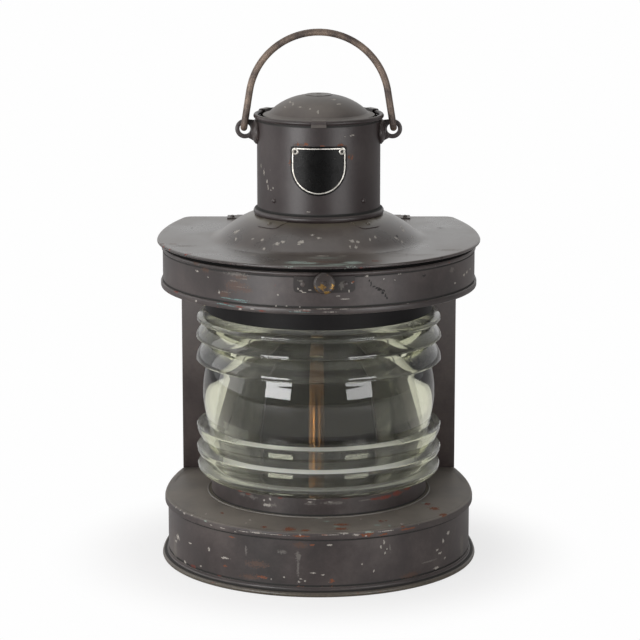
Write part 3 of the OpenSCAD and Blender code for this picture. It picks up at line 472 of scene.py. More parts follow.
def copy_turned(piece, degrees):
    """A copy of a piece with its own mesh, turned about the lens axis."""
    clear_selection()
    piece.select_set(True)
    bpy.context.view_layer.objects.active = piece
    bpy.ops.object.duplicate()
    twin = bpy.context.active_object
    bpy.ops.object.mode_set(mode="EDIT")
    bpy.ops.mesh.select_all(action="SELECT")
    bpy.ops.transform.rotate(value=math.radians(-degrees), orient_axis="Z", center_override=(0, 0, 0))
    bpy.ops.object.mode_set(mode="OBJECT")
    return twin


def copy_mirrored(piece):
    """A copy of a piece on the other side of the middle."""
    clear_selection()
    piece.select_set(True)
    bpy.context.view_layer.objects.active = piece
    bpy.ops.object.duplicate()
    twin = bpy.context.active_object
    bpy.ops.object.mode_set(mode="EDIT")
    bpy.ops.mesh.select_all(action="SELECT")
    bpy.ops.transform.mirror(constraint_axis=(True, False, False), center_override=(0, 0, 0))
    bpy.ops.mesh.normals_make_consistent(inside=False)
    bpy.ops.object.mode_set(mode="OBJECT")
    return twin


def settle(piece, body, nodes, material, angle=32):
    """Finish a piece: shading, material, and its place in the frame."""
    clear_selection()
    piece.select_set(True)
    bpy.context.view_layer.objects.active = piece
    bpy.ops.object.shade_smooth_by_angle(angle=math.radians(angle))
    piece.data.materials.clear()
    piece.data.materials.append(material)
    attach(piece, body)
    if nodes:
        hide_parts(*nodes)
    return piece


def arc(x, y, r, start, end, steps):
    """Points of an arc, in degrees."""
    turns = [math.radians(start + (end - start) * i / steps) for i in range(steps + 1)]
    return [(x + r * math.cos(a), y + r * math.sin(a)) for a in turns]


def rivet(name, centre, normal, radius, height):
    """A domed rivet head; its base is a little below the surface that it sits on."""
    normal = Vector(normal).normalized()
    side = normal.orthogonal().normalized()
    line = [(radius, -0.3), (radius, 0.12 * height)]
    line += [
        (radius * math.cos(a), height * (0.12 + 0.88 * math.sin(a)))
        for a in [math.radians(18 * i) for i in range(1, 6)]]
    points = [tuple(Vector(centre) + side * r + normal * h) for r, h in line]
    piece = draw_line(name, points)
    spin(20, 360, centre, normal)
    tidy_mesh()
    return piece


def rivets_round(name, radius, angles, z, size, height):
    """Rivets in a round wall, at angles from the front, joined into one piece."""
    made = []
    for angle in angles:
        a = math.radians(angle)
        normal = (math.sin(a), -math.cos(a), 0)
        centre = (radius * normal[0], radius * normal[1], z)
        made.append(rivet(name, centre, normal, size, height))
    return join(name, made)


def wrap(piece, radius):
    """Bend a flat piece, drawn with its back at y = 0, round a wall of this radius."""
    if bpy.context.mode != "OBJECT":
        bpy.ops.object.mode_set(mode="OBJECT")
    for vertex in piece.data.vertices:
        r = radius * MM - vertex.co.y
        turn = vertex.co.x / (radius * MM)
        vertex.co.x = r * math.sin(turn)
        vertex.co.y = -r * math.cos(turn)


# Materials


def linear(code):
    """An sRGB hex value as linear red, green, blue and alpha."""
    parts = [int(code[i:i + 2], 16) / 255 for i in (0, 2, 4)]
    return [c / 12.92 if c <= 0.04045 else ((c + 0.055) / 1.055) ** 2.4 for c in parts] + [1.0]


def add(tree, kind, settings=None, **links):
    """Add a node, set its fields, and fill or link its inputs by name."""
    made = tree.nodes.new(kind)
    for key, value in (settings or {}).items():
        setattr(made, key, value)
    for key, value in links.items():
        name = key.replace("_", " ").strip()
        socket = made.inputs[int(name)] if name.isdigit() else made.inputs[name]
        if isinstance(value, bpy.types.NodeSocket):
            tree.links.new(value, socket)
        else:
            socket.default_value = value
    return made


def new_material(name):
    """An empty node material, with its tree and Principled shader."""
    material = bpy.data.materials.new(name)
    material.use_nodes = True
    tree = material.node_tree
    tree.nodes.clear()
    shader = tree.nodes.new("ShaderNodeBsdfPrincipled")
    output = tree.nodes.new("ShaderNodeOutputMaterial")
    tree.links.new(shader.outputs[0], output.inputs[0])
    return material, tree, shader


MATERIALS = {}
SOFT_MARKS = ("smear", "rub")


def photo_point(px, py, inside):
    """The point, in millimetres, where the line of sight through a photo pixel enters a shape."""
    stage = bpy.context.scene.lantern_stage
    focal = PHOTO_SIDE * stage.focal_length / SENSOR
    across = (px - PHOTO_SIDE / 2) / focal
    rise = (PHOTO_SIDE / 2 - py) / focal
    sine, cosine = math.sin(stage.camera_pitch), math.cos(stage.camera_pitch)
    ray = Vector((across, cosine + rise * sine, rise * cosine - sine))
    eye = Vector((CAMERA_X, -stage.camera_distance, stage.camera_height)) / MM
    for step in range(8000):
        point = eye + ray * (2200 + 0.1 * step)
        if inside(point.x, point.y, point.z):
            return point
    raise ValueError("No surface at photo pixel %s, %s" % (px, py))


def inside_wall(radius):
    """Test for a round wall of this radius about the lens axis."""
    return lambda x, y, z: math.hypot(x, y) < radius


def under_base_top(x, y, z):
    """Test for the base's top plate, with its slope and its lip."""
    r = math.hypot(x, y)
    climb = min(max((WALL_R - 1 - r) / (WALL_R - 1 - COLLAR_SEAT_R), 0), 1)
    return r < WALL_R + LIP_OUT and z < BASE_H + (SEAT_Z - BASE_H) * climb


def under_lid_top(x, y, z):
    """Test for the lid's plate with its dome."""
    r = math.hypot(x, y)
    return z < (dome_line(r) if r < DOME_END_R else LID_Z)


def marks(inside, table, rise=0):
    """Marks of wear by kind, as (centre, radii) on a surface, from a table of their pixels. On a
    surface seen flat they are stretched away from the eye, and their half height is the rise."""
    made = {}
    for kind, places in table.items():
        made[kind] = []
        for px, py, wide, tall in places:
            across = wide * MM_PER_PIXEL
            depth = tall * MM_PER_PIXEL * 4.2 if rise else max(across, 6.0)
            high = rise or tall * MM_PER_PIXEL
            made[kind].append((photo_point(px, py, inside), (across, depth, high)))
    return made


def near_marks(tree, where, places, ragged):
    """Mask, 1 inside any of the marks and 0 outside, with ragged edges."""
    nearest = None
    for centre, radii in places:
        scale = [1 / (r * MM) for r in radii]
        shift = [-c / r for c, r in zip(centre, radii)]
        local = add(tree, "ShaderNodeVectorMath", {"operation": "MULTIPLY_ADD"}, _0=where, _1=scale, _2=shift)
        reach = add(tree, "ShaderNodeVectorMath", {"operation": "LENGTH"}, _0=local.outputs[0])
        if nearest is None:
            nearest = reach.outputs["Value"]
        else:
            nearest = add(tree, "ShaderNodeMath", {"operation": "MINIMUM"}, _0=nearest,
                          _1=reach.outputs["Value"]).outputs[0]
    frayed = add(tree, "ShaderNodeMath", {"operation": "MULTIPLY_ADD"}, _0=ragged, _1=4.2, _2=nearest)
    return add(tree, "ShaderNodeMapRange", {"clamp": True}, Value=frayed.outputs[0],
               From_Min=3.08, From_Max=2.72, To_Min=0.0, To_Max=1.0).outputs[0]


def layer(tree, under, over, mask):
    """One colour over another by a mask."""
    return add(tree, "ShaderNodeMix", {"data_type": "RGBA"}, _0=mask, _6=under, _7=over).outputs[2]


def painted_sheet(name="painted sheet steel", tones=None, wear=None, edges=(), seams=(), crusts=(),
                  dust=0.3, chips=0.5, sheen=(0.34, 0.46), gloss=0.4, sooty=0):
    """Sheet steel, brushed by hand with a brown-grey topcoat over red lead; it gives a low sheen,
    with rubbed patches, dust and a painted sheen on level parts, dirt and painted shade in the
    seams, and chips down to primer and zinc."""
    if name in MATERIALS:
        return MATERIALS[name]
    finish = bpy.context.scene.lantern_finish
    dark, middle, worn = tones or (finish.paint_dark, finish.paint, finish.paint_worn)
    material, tree, shader = new_material(name)
    place = add(tree, "ShaderNodeTexCoord")
    where = place.outputs["Object"]
    # cloudy tone of old paint, in patches of 40 to 80 mm
    cloud = add(tree, "ShaderNodeTexNoise", Vector=where, Scale=15.0, Detail=7.0, Roughness=0.62)
    tone = add(tree, "ShaderNodeValToRGB", _0=cloud.outputs[0])
    tone.color_ramp.elements[0].position = 0.32
    tone.color_ramp.elements[0].color = linear(dark)
    tone.color_ramp.elements[1].position = 0.72
    tone.color_ramp.elements[1].color = linear(worn)
    tone.color_ramp.elements.new(0.52).color = linear(middle)
    # brush marks and handling grain, 2 to 3 mm
    grain = add(tree, "ShaderNodeTexNoise", Vector=where, Scale=380.0, Detail=5.0, Roughness=0.6)
    colour = add(tree, "ShaderNodeMix", {"data_type": "RGBA", "blend_type": "OVERLAY"},
                 _0=0.22, _6=tone.outputs[0], _7=grain.outputs[0]).outputs[2]
    # dust and chalk on what faces up, partly a painted sheen: the level tops lighter
    facing = add(tree, "ShaderNodeSeparateXYZ", _0=place.outputs["Normal"])
    level = add(tree, "ShaderNodeMapRange", {"clamp": True}, Value=facing.outputs[2], From_Min=0.45,
                From_Max=0.98, To_Min=0.0, To_Max=dust)
    settled = add(tree, "ShaderNodeMapRange", {"clamp": True}, Value=cloud.outputs[0], From_Min=0.3,
                  From_Max=0.6, To_Min=0.45, To_Max=1.0)
    dust_and_sheen = add(tree, "ShaderNodeMath", {"operation": "MULTIPLY"}, _0=level.outputs[0], _1=settled.outputs[0])
    colour = layer(tree, colour, linear(finish.dust), dust_and_sheen.outputs[0])
    # pale crust, greenish brown, along beads and joints
    if crusts:
        broken = add(tree, "ShaderNodeMapRange", {"clamp": True}, Value=grain.outputs[0], From_Min=0.35,
                     From_Max=0.6, To_Min=0.3, To_Max=0.85)
        crusted = add(tree, "ShaderNodeMath", {"operation": "MULTIPLY"}, _0=nearness(tree, where, crusts),
                      _1=broken.outputs[0])
        colour = layer(tree, colour, linear(finish.crust), crusted.outputs[0])
    # soot between two uprights, this far from the middle: soot and painted shade on the sheet inside the lens
    if sooty:
        across = add(tree, "ShaderNodeSeparateXYZ", _0=where).outputs[0]
        across = add(tree, "ShaderNodeMath", {"operation": "ABSOLUTE"}, _0=across)
        inner = add(tree, "ShaderNodeMapRange", {"clamp": True}, Value=across.outputs[0], From_Min=sooty * MM,
                    From_Max=(sooty + 3) * MM, To_Min=1.0, To_Max=0.0)
        deep = add(tree, "ShaderNodeSeparateXYZ", _0=where).outputs[1]
        front = add(tree, "ShaderNodeMapRange", {"clamp": True}, Value=deep, From_Min=(BACK_Y + 0.2) * MM,
                    From_Max=(BACK_Y + 0.5) * MM, To_Min=1.0, To_Max=0.0)
        inner = add(tree, "ShaderNodeMath", {"operation": "MULTIPLY"}, _0=inner.outputs[0], _1=front.outputs[0])
        colour = layer(tree, colour, linear(finish.soot), inner.outputs[0])
    # dirt, greenish brown, and painted shade: darker along the seams, under lips, beads and rims
    dirt_and_shade = nearness(tree, where, seams)
    if seams:
        dirt_and_shade = add(tree, "ShaderNodeMath", {"operation": "MULTIPLY", "use_clamp": True}, _0=dirt_and_shade, _1=2.0).outputs[0]
        colour = layer(tree, colour, linear(finish.grime_and_shade), dirt_and_shade)
    # small nicks of 0.5 to 1.5 mm, more of them along the edges
    close = nearness(tree, where, edges)
    nick = add(tree, "ShaderNodeTexNoise", Vector=where, Scale=420.0, Detail=4.0, Roughness=0.6, Distortion=0.6)
    limit = add(tree, "ShaderNodeMath", {"operation": "MULTIPLY_ADD"}, _0=close, _1=-0.07, _2=0.775 - 0.03 * chips)
    past = add(tree, "ShaderNodeMath", {"operation": "SUBTRACT"}, _0=nick.outputs[0], _1=limit.outputs[0])
    nicked = add(tree, "ShaderNodeMapRange", {"clamp": True}, Value=past.outputs[0], From_Max=0.03).outputs[0]
    # primer where the edges are rubbed, in flakes of 5 to 15 mm
    flake = add(tree, "ShaderNodeTexNoise", Vector=where, Scale=75.0, Detail=6.0, Roughness=0.65)
    limit = add(tree, "ShaderNodeMath", {"operation": "MULTIPLY_ADD"}, _0=close, _1=-0.13, _2=0.745)
    past = add(tree, "ShaderNodeMath", {"operation": "SUBTRACT"}, _0=flake.outputs[0], _1=limit.outputs[0])
    flaked = add(tree, "ShaderNodeMapRange", {"clamp": True}, Value=past.outputs[0], From_Max=0.03,
                 To_Max=0.7).outputs[0]
    colour = layer(tree, colour, linear(finish.red_lead), flaked)
    bumps = flaked
    ragged = add(tree, "ShaderNodeTexNoise", Vector=where, Scale=600.0, Detail=5.0, Roughness=0.7).outputs[0]
    for kind, places in (wear or {}).items():
        mask = near_marks(tree, where, places, ragged)
        if kind in SOFT_MARKS:
            mask = add(tree, "ShaderNodeMath", {"operation": "MULTIPLY"}, _0=mask, _1=0.5).outputs[0]
        colour = layer(tree, colour, linear(getattr(finish, kind)), mask)
        bumps = add(tree, "ShaderNodeMath", {"operation": "MAXIMUM"}, _0=bumps, _1=mask).outputs[0]
    colour = layer(tree, colour, linear(finish.bare), nicked)
    tree.links.new(colour, shader.inputs["Base Color"])
    # chips, flakes, dirt and the painted shade in the seams are matt
    matt = add(tree, "ShaderNodeMath", {"operation": "MAXIMUM"}, _0=bumps, _1=dirt_and_shade).outputs[0]
    polish = add(tree, "ShaderNodeMapRange", Value=cloud.outputs[0], From_Min=0.3, From_Max=0.7,
                 To_Min=sheen[0], To_Max=sheen[1])
    rough = add(tree, "ShaderNodeMath", {"operation": "MULTIPLY_ADD", "use_clamp": True}, _0=dust_and_sheen.outputs[0],
                _1=0.12, _2=polish.outputs[0])
    rough = add(tree, "ShaderNodeMath", {"operation": "MULTIPLY_ADD", "use_clamp": True}, _0=matt, _1=0.35,
                _2=rough.outputs[0])
    tree.links.new(rough.outputs[0], shader.inputs["Roughness"])
    shader.inputs["Specular IOR Level"].default_value = gloss
    relief = add(tree, "ShaderNodeMath", {"operation": "MULTIPLY_ADD"}, _0=grain.outputs[0], _1=0.5, _2=bumps)
    bump = add(tree, "ShaderNodeBump", {"invert": True}, Strength=0.3, Distance=0.0002, Height=relief.outputs[0])
    tree.links.new(bump.outputs[0], shader.inputs["Normal"])
    MATERIALS[name] = material
    return material


def nearness(tree, where, edges):
    """How near a point is to one of the worn edges, given as (height, reach) in millimetres."""
    if not edges:
        return 0.0
    height = add(tree, "ShaderNodeSeparateXYZ", _0=where).outputs[2]
    best = None
    for level, reach in edges:
        away = add(tree, "ShaderNodeMath", {"operation": "SUBTRACT"}, _0=height, _1=level * MM)
        away = add(tree, "ShaderNodeMath", {"operation": "ABSOLUTE"}, _0=away.outputs[0])
        close = add(tree, "ShaderNodeMapRange", {"clamp": True}, Value=away.outputs[0], From_Max=reach * MM,
                    To_Min=1.0, To_Max=0.0).outputs[0]
        best = close if best is None else add(
            tree, "ShaderNodeMath", {"operation": "MAXIMUM"}, _0=best, _1=close).outputs[0]
    return best


def metal(name, code, dark_code, rough=0.35, grain_scale=300.0, metallic=1.0):
    """A bare metal with tarnish."""
    if name in MATERIALS:
        return MATERIALS[name]
    material, tree, shader = new_material(name)
    where = add(tree, "ShaderNodeTexCoord").outputs["Object"]
    cloud = add(tree, "ShaderNodeTexNoise", Vector=where, Scale=60.0, Detail=6.0, Roughness=0.65)
    tone = add(tree, "ShaderNodeValToRGB", _0=cloud.outputs[0])
    tone.color_ramp.elements[0].position = 0.35
    tone.color_ramp.elements[0].color = linear(dark_code)
    tone.color_ramp.elements[1].position = 0.65
    tone.color_ramp.elements[1].color = linear(code)
    tree.links.new(tone.outputs[0], shader.inputs["Base Color"])
    shader.inputs["Metallic"].default_value = metallic
    spread = add(tree, "ShaderNodeMapRange", Value=cloud.outputs[0], To_Min=rough + 0.2, To_Max=rough)
    tree.links.new(spread.outputs[0], shader.inputs["Roughness"])
    grain = add(tree, "ShaderNodeTexNoise", Vector=where, Scale=grain_scale, Detail=4.0)
    bump = add(tree, "ShaderNodeBump", Strength=0.2, Distance=0.0003, Height=grain.outputs[0])
    tree.links.new(bump.outputs[0], shader.inputs["Normal"])
    MATERIALS[name] = material
    return material


def pressed_glass():
    """Pressed soda glass, greener where it is thick; the belt is clear, and the rings hold dust,
    whitened across the front of the lower ledges as a painted highlight.
    """
    if "pressed glass" in MATERIALS:
        return MATERIALS["pressed glass"]
    material, tree, shader = new_material("pressed glass")
    place = add(tree, "ShaderNodeTexCoord")
    where = place.outputs["Object"]
    shader.inputs["Base Color"].default_value = linear(bpy.context.scene.lantern_finish.glass)
    shader.inputs["IOR"].default_value = 1.5
    # dust in the rings, clear on the belt
    height = add(tree, "ShaderNodeSeparateXYZ", _0=where).outputs[2]
    away = add(tree, "ShaderNodeMath", {"operation": "SUBTRACT"}, _0=height, _1=LENS_Z * MM)
    away = add(tree, "ShaderNodeMath", {"operation": "ABSOLUTE"}, _0=away.outputs[0])
    ringed = add(tree, "ShaderNodeMapRange", {"clamp": True}, Value=away.outputs[0], From_Min=0.026, From_Max=0.034,
                 To_Min=0.0, To_Max=1.0)
    dust = add(tree, "ShaderNodeTexNoise", Vector=where, Scale=60.0, Detail=7.0, Roughness=0.7)
    film = add(tree, "ShaderNodeMapRange", {"clamp": True}, Value=dust.outputs[0], From_Min=0.35, From_Max=0.75,
               To_Min=0.01, To_Max=0.08)
    film = add(tree, "ShaderNodeMath", {"operation": "MULTIPLY"}, _0=film.outputs[0], _1=ringed.outputs[0])
    # more of it on the ledges, which face up; across the front of the lower rings it is a painted highlight band,
    # whitest in the middle
    facing = add(tree, "ShaderNodeSeparateXYZ", _0=place.outputs["Normal"])
    ledge = add(tree, "ShaderNodeMapRange", {"clamp": True}, Value=facing.outputs[2], From_Min=0.7, From_Max=0.97,
                To_Min=0.0, To_Max=1.0)
    across = add(tree, "ShaderNodeSeparateXYZ", _0=where).outputs[0]
    across = add(tree, "ShaderNodeMath", {"operation": "ABSOLUTE"}, _0=across)
    front = add(tree, "ShaderNodeMapRange", {"clamp": True, "interpolation_type": "SMOOTHSTEP"},
                Value=across.outputs[0], From_Min=0.055, From_Max=0.095, To_Min=0.95, To_Max=0.3)
    highlight_band = add(tree, "ShaderNodeMath", {"operation": "MULTIPLY", "use_clamp": True},
                 _0=nearness(tree, where, [(LENS_Z - 42, 24)]), _1=2.0)
    dust_and_highlight_share = add(tree, "ShaderNodeMix", {"data_type": "FLOAT"}, _0=highlight_band.outputs[0], _2=0.3, _3=front.outputs[0])
    ledge = add(tree, "ShaderNodeMath", {"operation": "MULTIPLY"}, _0=ledge.outputs[0], _1=dust_and_highlight_share.outputs[0])
    ledge = add(tree, "ShaderNodeMath", {"operation": "MULTIPLY"}, _0=ledge.outputs[0], _1=ringed.outputs[0])
    film = add(tree, "ShaderNodeMath", {"operation": "MAXIMUM"}, _0=film.outputs[0], _1=ledge.outputs[0])
    clear = add(tree, "ShaderNodeMath", {"operation": "SUBTRACT"}, _0=1.0, _1=film.outputs[0])
    tree.links.new(clear.outputs[0], shader.inputs["Transmission Weight"])
    rough = add(tree, "ShaderNodeMapRange", {"clamp": True}, Value=film.outputs[0], From_Max=0.38,
                To_Min=0.0, To_Max=0.3)
    tree.links.new(rough.outputs[0], shader.inputs["Roughness"])
    # slow ripple of pressed glass, about 40 mm long
    ripple = add(tree, "ShaderNodeTexNoise", Vector=where, Scale=25.0, Detail=1.0)
    bump = add(tree, "ShaderNodeBump", Strength=0.05, Distance=0.001, Height=ripple.outputs[0])
    tree.links.new(bump.outputs[0], shader.inputs["Normal"])
    tint = tree.nodes.new("ShaderNodeVolumeAbsorption")
    tint.inputs["Color"].default_value = linear("dadbc2")
    tint.inputs["Density"].default_value = 30.0
    output = [node for node in tree.nodes if node.bl_idname == "ShaderNodeOutputMaterial"][0]
    tree.links.new(tint.outputs[0], output.inputs["Volume"])
    MATERIALS["pressed glass"] = material
    return material


def soft_matter(name, code, dark_code, rough=0.85, scale=200.0):
    """Putty, cotton and other dull matter."""
    if name in MATERIALS:
        return MATERIALS[name]
    material, tree, shader = new_material(name)
    where = add(tree, "ShaderNodeTexCoord").outputs["Object"]
    cloud = add(tree, "ShaderNodeTexNoise", Vector=where, Scale=scale, Detail=5.0)
    tone = add(tree, "ShaderNodeValToRGB", _0=cloud.outputs[0])
    tone.color_ramp.elements[0].position = 0.35
    tone.color_ramp.elements[0].color = linear(dark_code)
    tone.color_ramp.elements[1].position = 0.65
    tone.color_ramp.elements[1].color = linear(code)
    tree.links.new(tone.outputs[0], shader.inputs["Base Color"])
    shader.inputs["Roughness"].default_value = rough
    bump = add(tree, "ShaderNodeBump", Strength=0.3, Distance=0.0004, Height=cloud.outputs[0])
    tree.links.new(bump.outputs[0], shader.inputs["Normal"])
    MATERIALS[name] = material
    return material


def enamel():
    """Vitreous enamel on a steel plate: glossy black, a little scratched."""
    if "black enamel" in MATERIALS:
        return MATERIALS["black enamel"]
    material, tree, shader = new_material("black enamel")
    where = add(tree, "ShaderNodeTexCoord").outputs["Object"]
    nick = add(tree, "ShaderNodeTexNoise", Vector=where, Scale=400.0, Detail=3.0)
    edge = add(tree, "ShaderNodeMapRange", {"clamp": True}, Value=nick.outputs[0], From_Min=0.73, From_Max=0.75)
    colour = add(tree, "ShaderNodeMix", {"data_type": "RGBA"},
                 _0=edge.outputs[0], _6=linear("050505"), _7=linear("6c6862"))
    tree.links.new(colour.outputs[2], shader.inputs["Base Color"])
    cloud = add(tree, "ShaderNodeTexNoise", Vector=where, Scale=150.0, Detail=5.0)
    rough = add(tree, "ShaderNodeMapRange", Value=cloud.outputs[0], To_Min=0.15, To_Max=0.4)
    tree.links.new(rough.outputs[0], shader.inputs["Roughness"])
    shader.inputs["Specular IOR Level"].default_value = 0.16
    MATERIALS["black enamel"] = material
    return material


def rusted_rod():
    """Iron rod with thin paint left on it and brown rust through it."""
    finish = bpy.context.scene.lantern_finish
    return metal("rusted iron rod", finish.rust, "453b37", 0.5, 500.0, 0.35)


def brass():
    """Aged brass, turned, with brown tarnish."""
    return metal("aged brass", bpy.context.scene.lantern_finish.brass, "3d2a17", 0.12, 350.0)


def knob_brass():
    """Brass knob under brown paint, rubbed to gold in patches, more of them on its lower half."""
    if "rubbed brass" in MATERIALS:
        return MATERIALS["rubbed brass"]
    material, tree, shader = new_material("rubbed brass")
    where = add(tree, "ShaderNodeTexCoord").outputs["Object"]
    patch = add(tree, "ShaderNodeTexNoise", Vector=where, Scale=190.0, Detail=5.0, Roughness=0.6)
    height = add(tree, "ShaderNodeSeparateXYZ", _0=where).outputs[2]
    lower = add(tree, "ShaderNodeMapRange", {"clamp": True}, Value=height, From_Min=(LATCH_Z - 6) * MM,
                From_Max=(LATCH_Z + 4) * MM, To_Min=0.46, To_Max=0.66)
    past = add(tree, "ShaderNodeMath", {"operation": "SUBTRACT"}, _0=patch.outputs[0], _1=lower.outputs[0])
    gold = add(tree, "ShaderNodeMapRange", {"clamp": True}, Value=past.outputs[0], From_Max=0.04).outputs[0]
    colour = layer(tree, linear("271d19"), linear("7c6138"), gold)
    tree.links.new(colour, shader.inputs["Base Color"])
    tree.links.new(gold, shader.inputs["Metallic"])
    shader.inputs["Roughness"].default_value = 0.4
    bump = add(tree, "ShaderNodeBump", {"invert": True}, Strength=0.3, Distance=0.0003, Height=gold)
    tree.links.new(bump.outputs[0], shader.inputs["Normal"])
    MATERIALS["rubbed brass"] = material
    return material


# Pieces

BODY = "lantern_body"
LID = "lid"


def flare(z):
    """Front radius of the foot's outer face."""
    return WALL_R + SHEET + (FOOT_OUT - SHEET) * (1 + math.cos(math.pi * z / FOOT_H)) / 2


class LANTERN_OT_base(bpy.types.Operator):
    """Base: flared foot, wall, top plate with its lip"""

    bl_idname = "lantern.base"
    bl_label = "Base"

    def execute(self, context):
        # the seam above the bead: dirt and painted shade
        paint = painted_sheet(
            "painted foot", edges=[(0, 4), (3, 3)], seams=[(5.0, 0.7)], crusts=[(2.2, 3.6)], chips=0.5)
        bead = FOOT_BEAD_R
        bead_x = flare(bead) - bead + 0.4
        heights = [2 * bead + (FOOT_H - 2 * bead) * i / 10 for i in range(11)]
        lap = FOOT_H + 1.5
        section = arc(bead_x, bead, bead, -110, 100, 14) + [(flare(z), z) for z in heights]
        section += [(WALL_R + SHEET, lap - 0.3), (WALL_R + SHEET - 0.3, lap), (WALL_R + 0.02, lap)]
        section += [(WALL_R + 0.02, FOOT_H + 0.3)] + [(flare(z) - SHEET, z + 0.2) for z in reversed(heights)]
        section += arc(bead_x, bead, bead, 135, 240, 6)
        foot = carry_round_plan("flared_foot", section)
        settle(foot, BODY, ["foot"], paint)

        wall = carry_round_plan("base_shell", [
            (WALL_R - SHEET, 0), (WALL_R, 0), (WALL_R, BASE_H - 0.7), (WALL_R - SHEET, BASE_H - 0.7)])
        # seams under the lip and above the foot: dirt and painted shade
        settle(wall, BODY, ["base_wall"], painted_sheet(
            "painted base wall", chips=0.5, edges=[(10, 7)], wear=marks(inside_wall(WALL_R), WALL_MARKS),
            seams=[(BASE_H - LIP_H - 0.6, 1.6), (FOOT_H + 2.0, 1.6)]))

        lip = WALL_R + LIP_OUT
        under = BASE_H - LIP_H
        rim = carry_round_plan("base_lip", (
            [(WALL_R + 0.1, under), (lip - 1, under)] + arc(lip - 1, under + 1, 1, -75, 0, 4)
            + arc(lip - 1.6, BASE_H - 1.6, 1.6, 0, 90, 7) + [(WALL_R - 3, BASE_H), (WALL_R - 3, BASE_H - SHEET),
            (WALL_R + 0.1, BASE_H - SHEET)]))
        cone_r = WALL_R - 1
        seat_r = high("lower_collar", 0) + 1
        cone = lathe("base_cone", [
            (88, SEAT_Z - SHEET), (seat_r, SEAT_Z - SHEET), (cone_r, BASE_H - SHEET + 0.1), (cone_r, BASE_H + 0.1),
            (seat_r + 2.4, SEAT_Z - 0.2), (seat_r + 2.3, SEAT_Z + 0.2), (seat_r + 1.8, SEAT_Z + 0.4),
            (seat_r - 0.6, SEAT_Z + 0.4), (88, SEAT_Z)])
        cut_away(BACK_Y)
        shelf = draw_line("base_shelf", [
            (x, y, BASE_H) for x, y in plan_points(WALL_R - 2.5)], closed=True)
        bpy.ops.mesh.edge_face_add()
        bpy.ops.mesh.extrude_region_move(TRANSFORM_OT_translate={"value": (0, 0, -SHEET * MM)})
        tidy_mesh()
        wedge = cut_outside_circle(shelf, cone_r - 0.4, BACK_Y)
        top = join("base_top_plate", [rim, cone, wedge])
        wear = marks(under_base_top, PLATE_MARKS, 1.0)
        for kind, places in marks(under_base_top, LIP_MARKS).items():
            wear[kind] = wear.get(kind, []) + places
        settle(top, BODY, ["base_top"], painted_sheet(
            "painted base plate", dust=0.8, chips=0.4, edges=[(BASE_H - 1, 2)], sheen=(0.42, 0.55),
            crusts=[(SEAT_Z + 0.45, 0.5)], wear=wear))
        # a thin ring of pale rubbed paint round the collar's foot: worn paint and a painted highlight along the seat's
        # edge
        wire = lathe("collar_foot_wire", arc(seat_r + 2.2, SEAT_Z + 0.3, 0.6, 0, 360, 10)[:-1])
        cut_away(BACK_Y)
        settle(wire, BODY, [], painted_sheet(
            "worn wire with painted highlight", [context.scene.lantern_finish.rub] * 3, dust=0.0, chips=0.0))
        return {"FINISHED"}


def plan_points(r):
    """The plan with front radius r as a closed list of points."""
    half = [(CORNER_X, r - REAR_SET)]
    turn = math.degrees(FLANK_TURN)
    half += arc(CORNER_X, CORNER_Y, r - CORNER_SET, 90, turn, 6)[1:]
    half += arc(-FLANK_SHIFT, 0, r + FLANK_SHIFT, turn, 0, 8)[1:]
    half += arc(0, 0, r, 0, -90, 40)[1:]
    return half + [(-x, y) for x, y in reversed(half[:-1])]


def cut_outside_circle(piece, radius, y):
    """Take a round opening, closed by a straight edge at y, out of a flat plate."""
    bpy.ops.object.mode_set(mode="OBJECT")
    half = math.degrees(math.asin(y / radius))
    outline = [(px, py, BASE_H - 5) for px, py in arc(0, 0, radius, half, -180 - half, 120)]
    cutter = prism("cutter", outline, (0, 0, 10))
    clear_selection()
    piece.select_set(True)
    bpy.context.view_layer.objects.active = piece
    cut = piece.modifiers.new("Boolean", "BOOLEAN")
    cut.operation = "DIFFERENCE"
    cut.object = cutter
    cut.solver = "EXACT"
    bpy.ops.object.modifier_apply(modifier=cut.name)
    bpy.data.objects.remove(cutter)
    return piece


def glass_side():
    """Outside of the glass from its middle to its end, as (radius, height above the middle)."""
    side = [(BELT_R - BELT_DROP * (i / 12) ** 2, (TIPS[0] - 1.6) * i / 12) for i in range(12)]
    ends = TIPS[1:] + (GLASS_HALF + 1.6,)
    for r, bend, tip, following in zip((TIP_R, TIP_R, TIP_R - 0.8), (1.7, 1.7, 2.6), TIPS, ends):
        side += [(ROOT_R - 0.3, tip - 1.75), (ROOT_R + 0.3, tip - 1.45)]
        side += [(r - 1.0, tip - 0.75), (r - 0.35, tip - 0.42), (r, tip + 0.05), (r - 0.12, tip + 0.6)]
        for i in range(1, 12):
            t = i / 12
            side.append((r - (r - ROOT_R) * t ** bend, tip + 0.5 + (following - tip - 2.1) * t))
    side += [(ROOT_R, GLASS_HALF), (NECK_R, GLASS_HALF), (NECK_R, GLASS_HALF + NECK_LEN)]
    return side


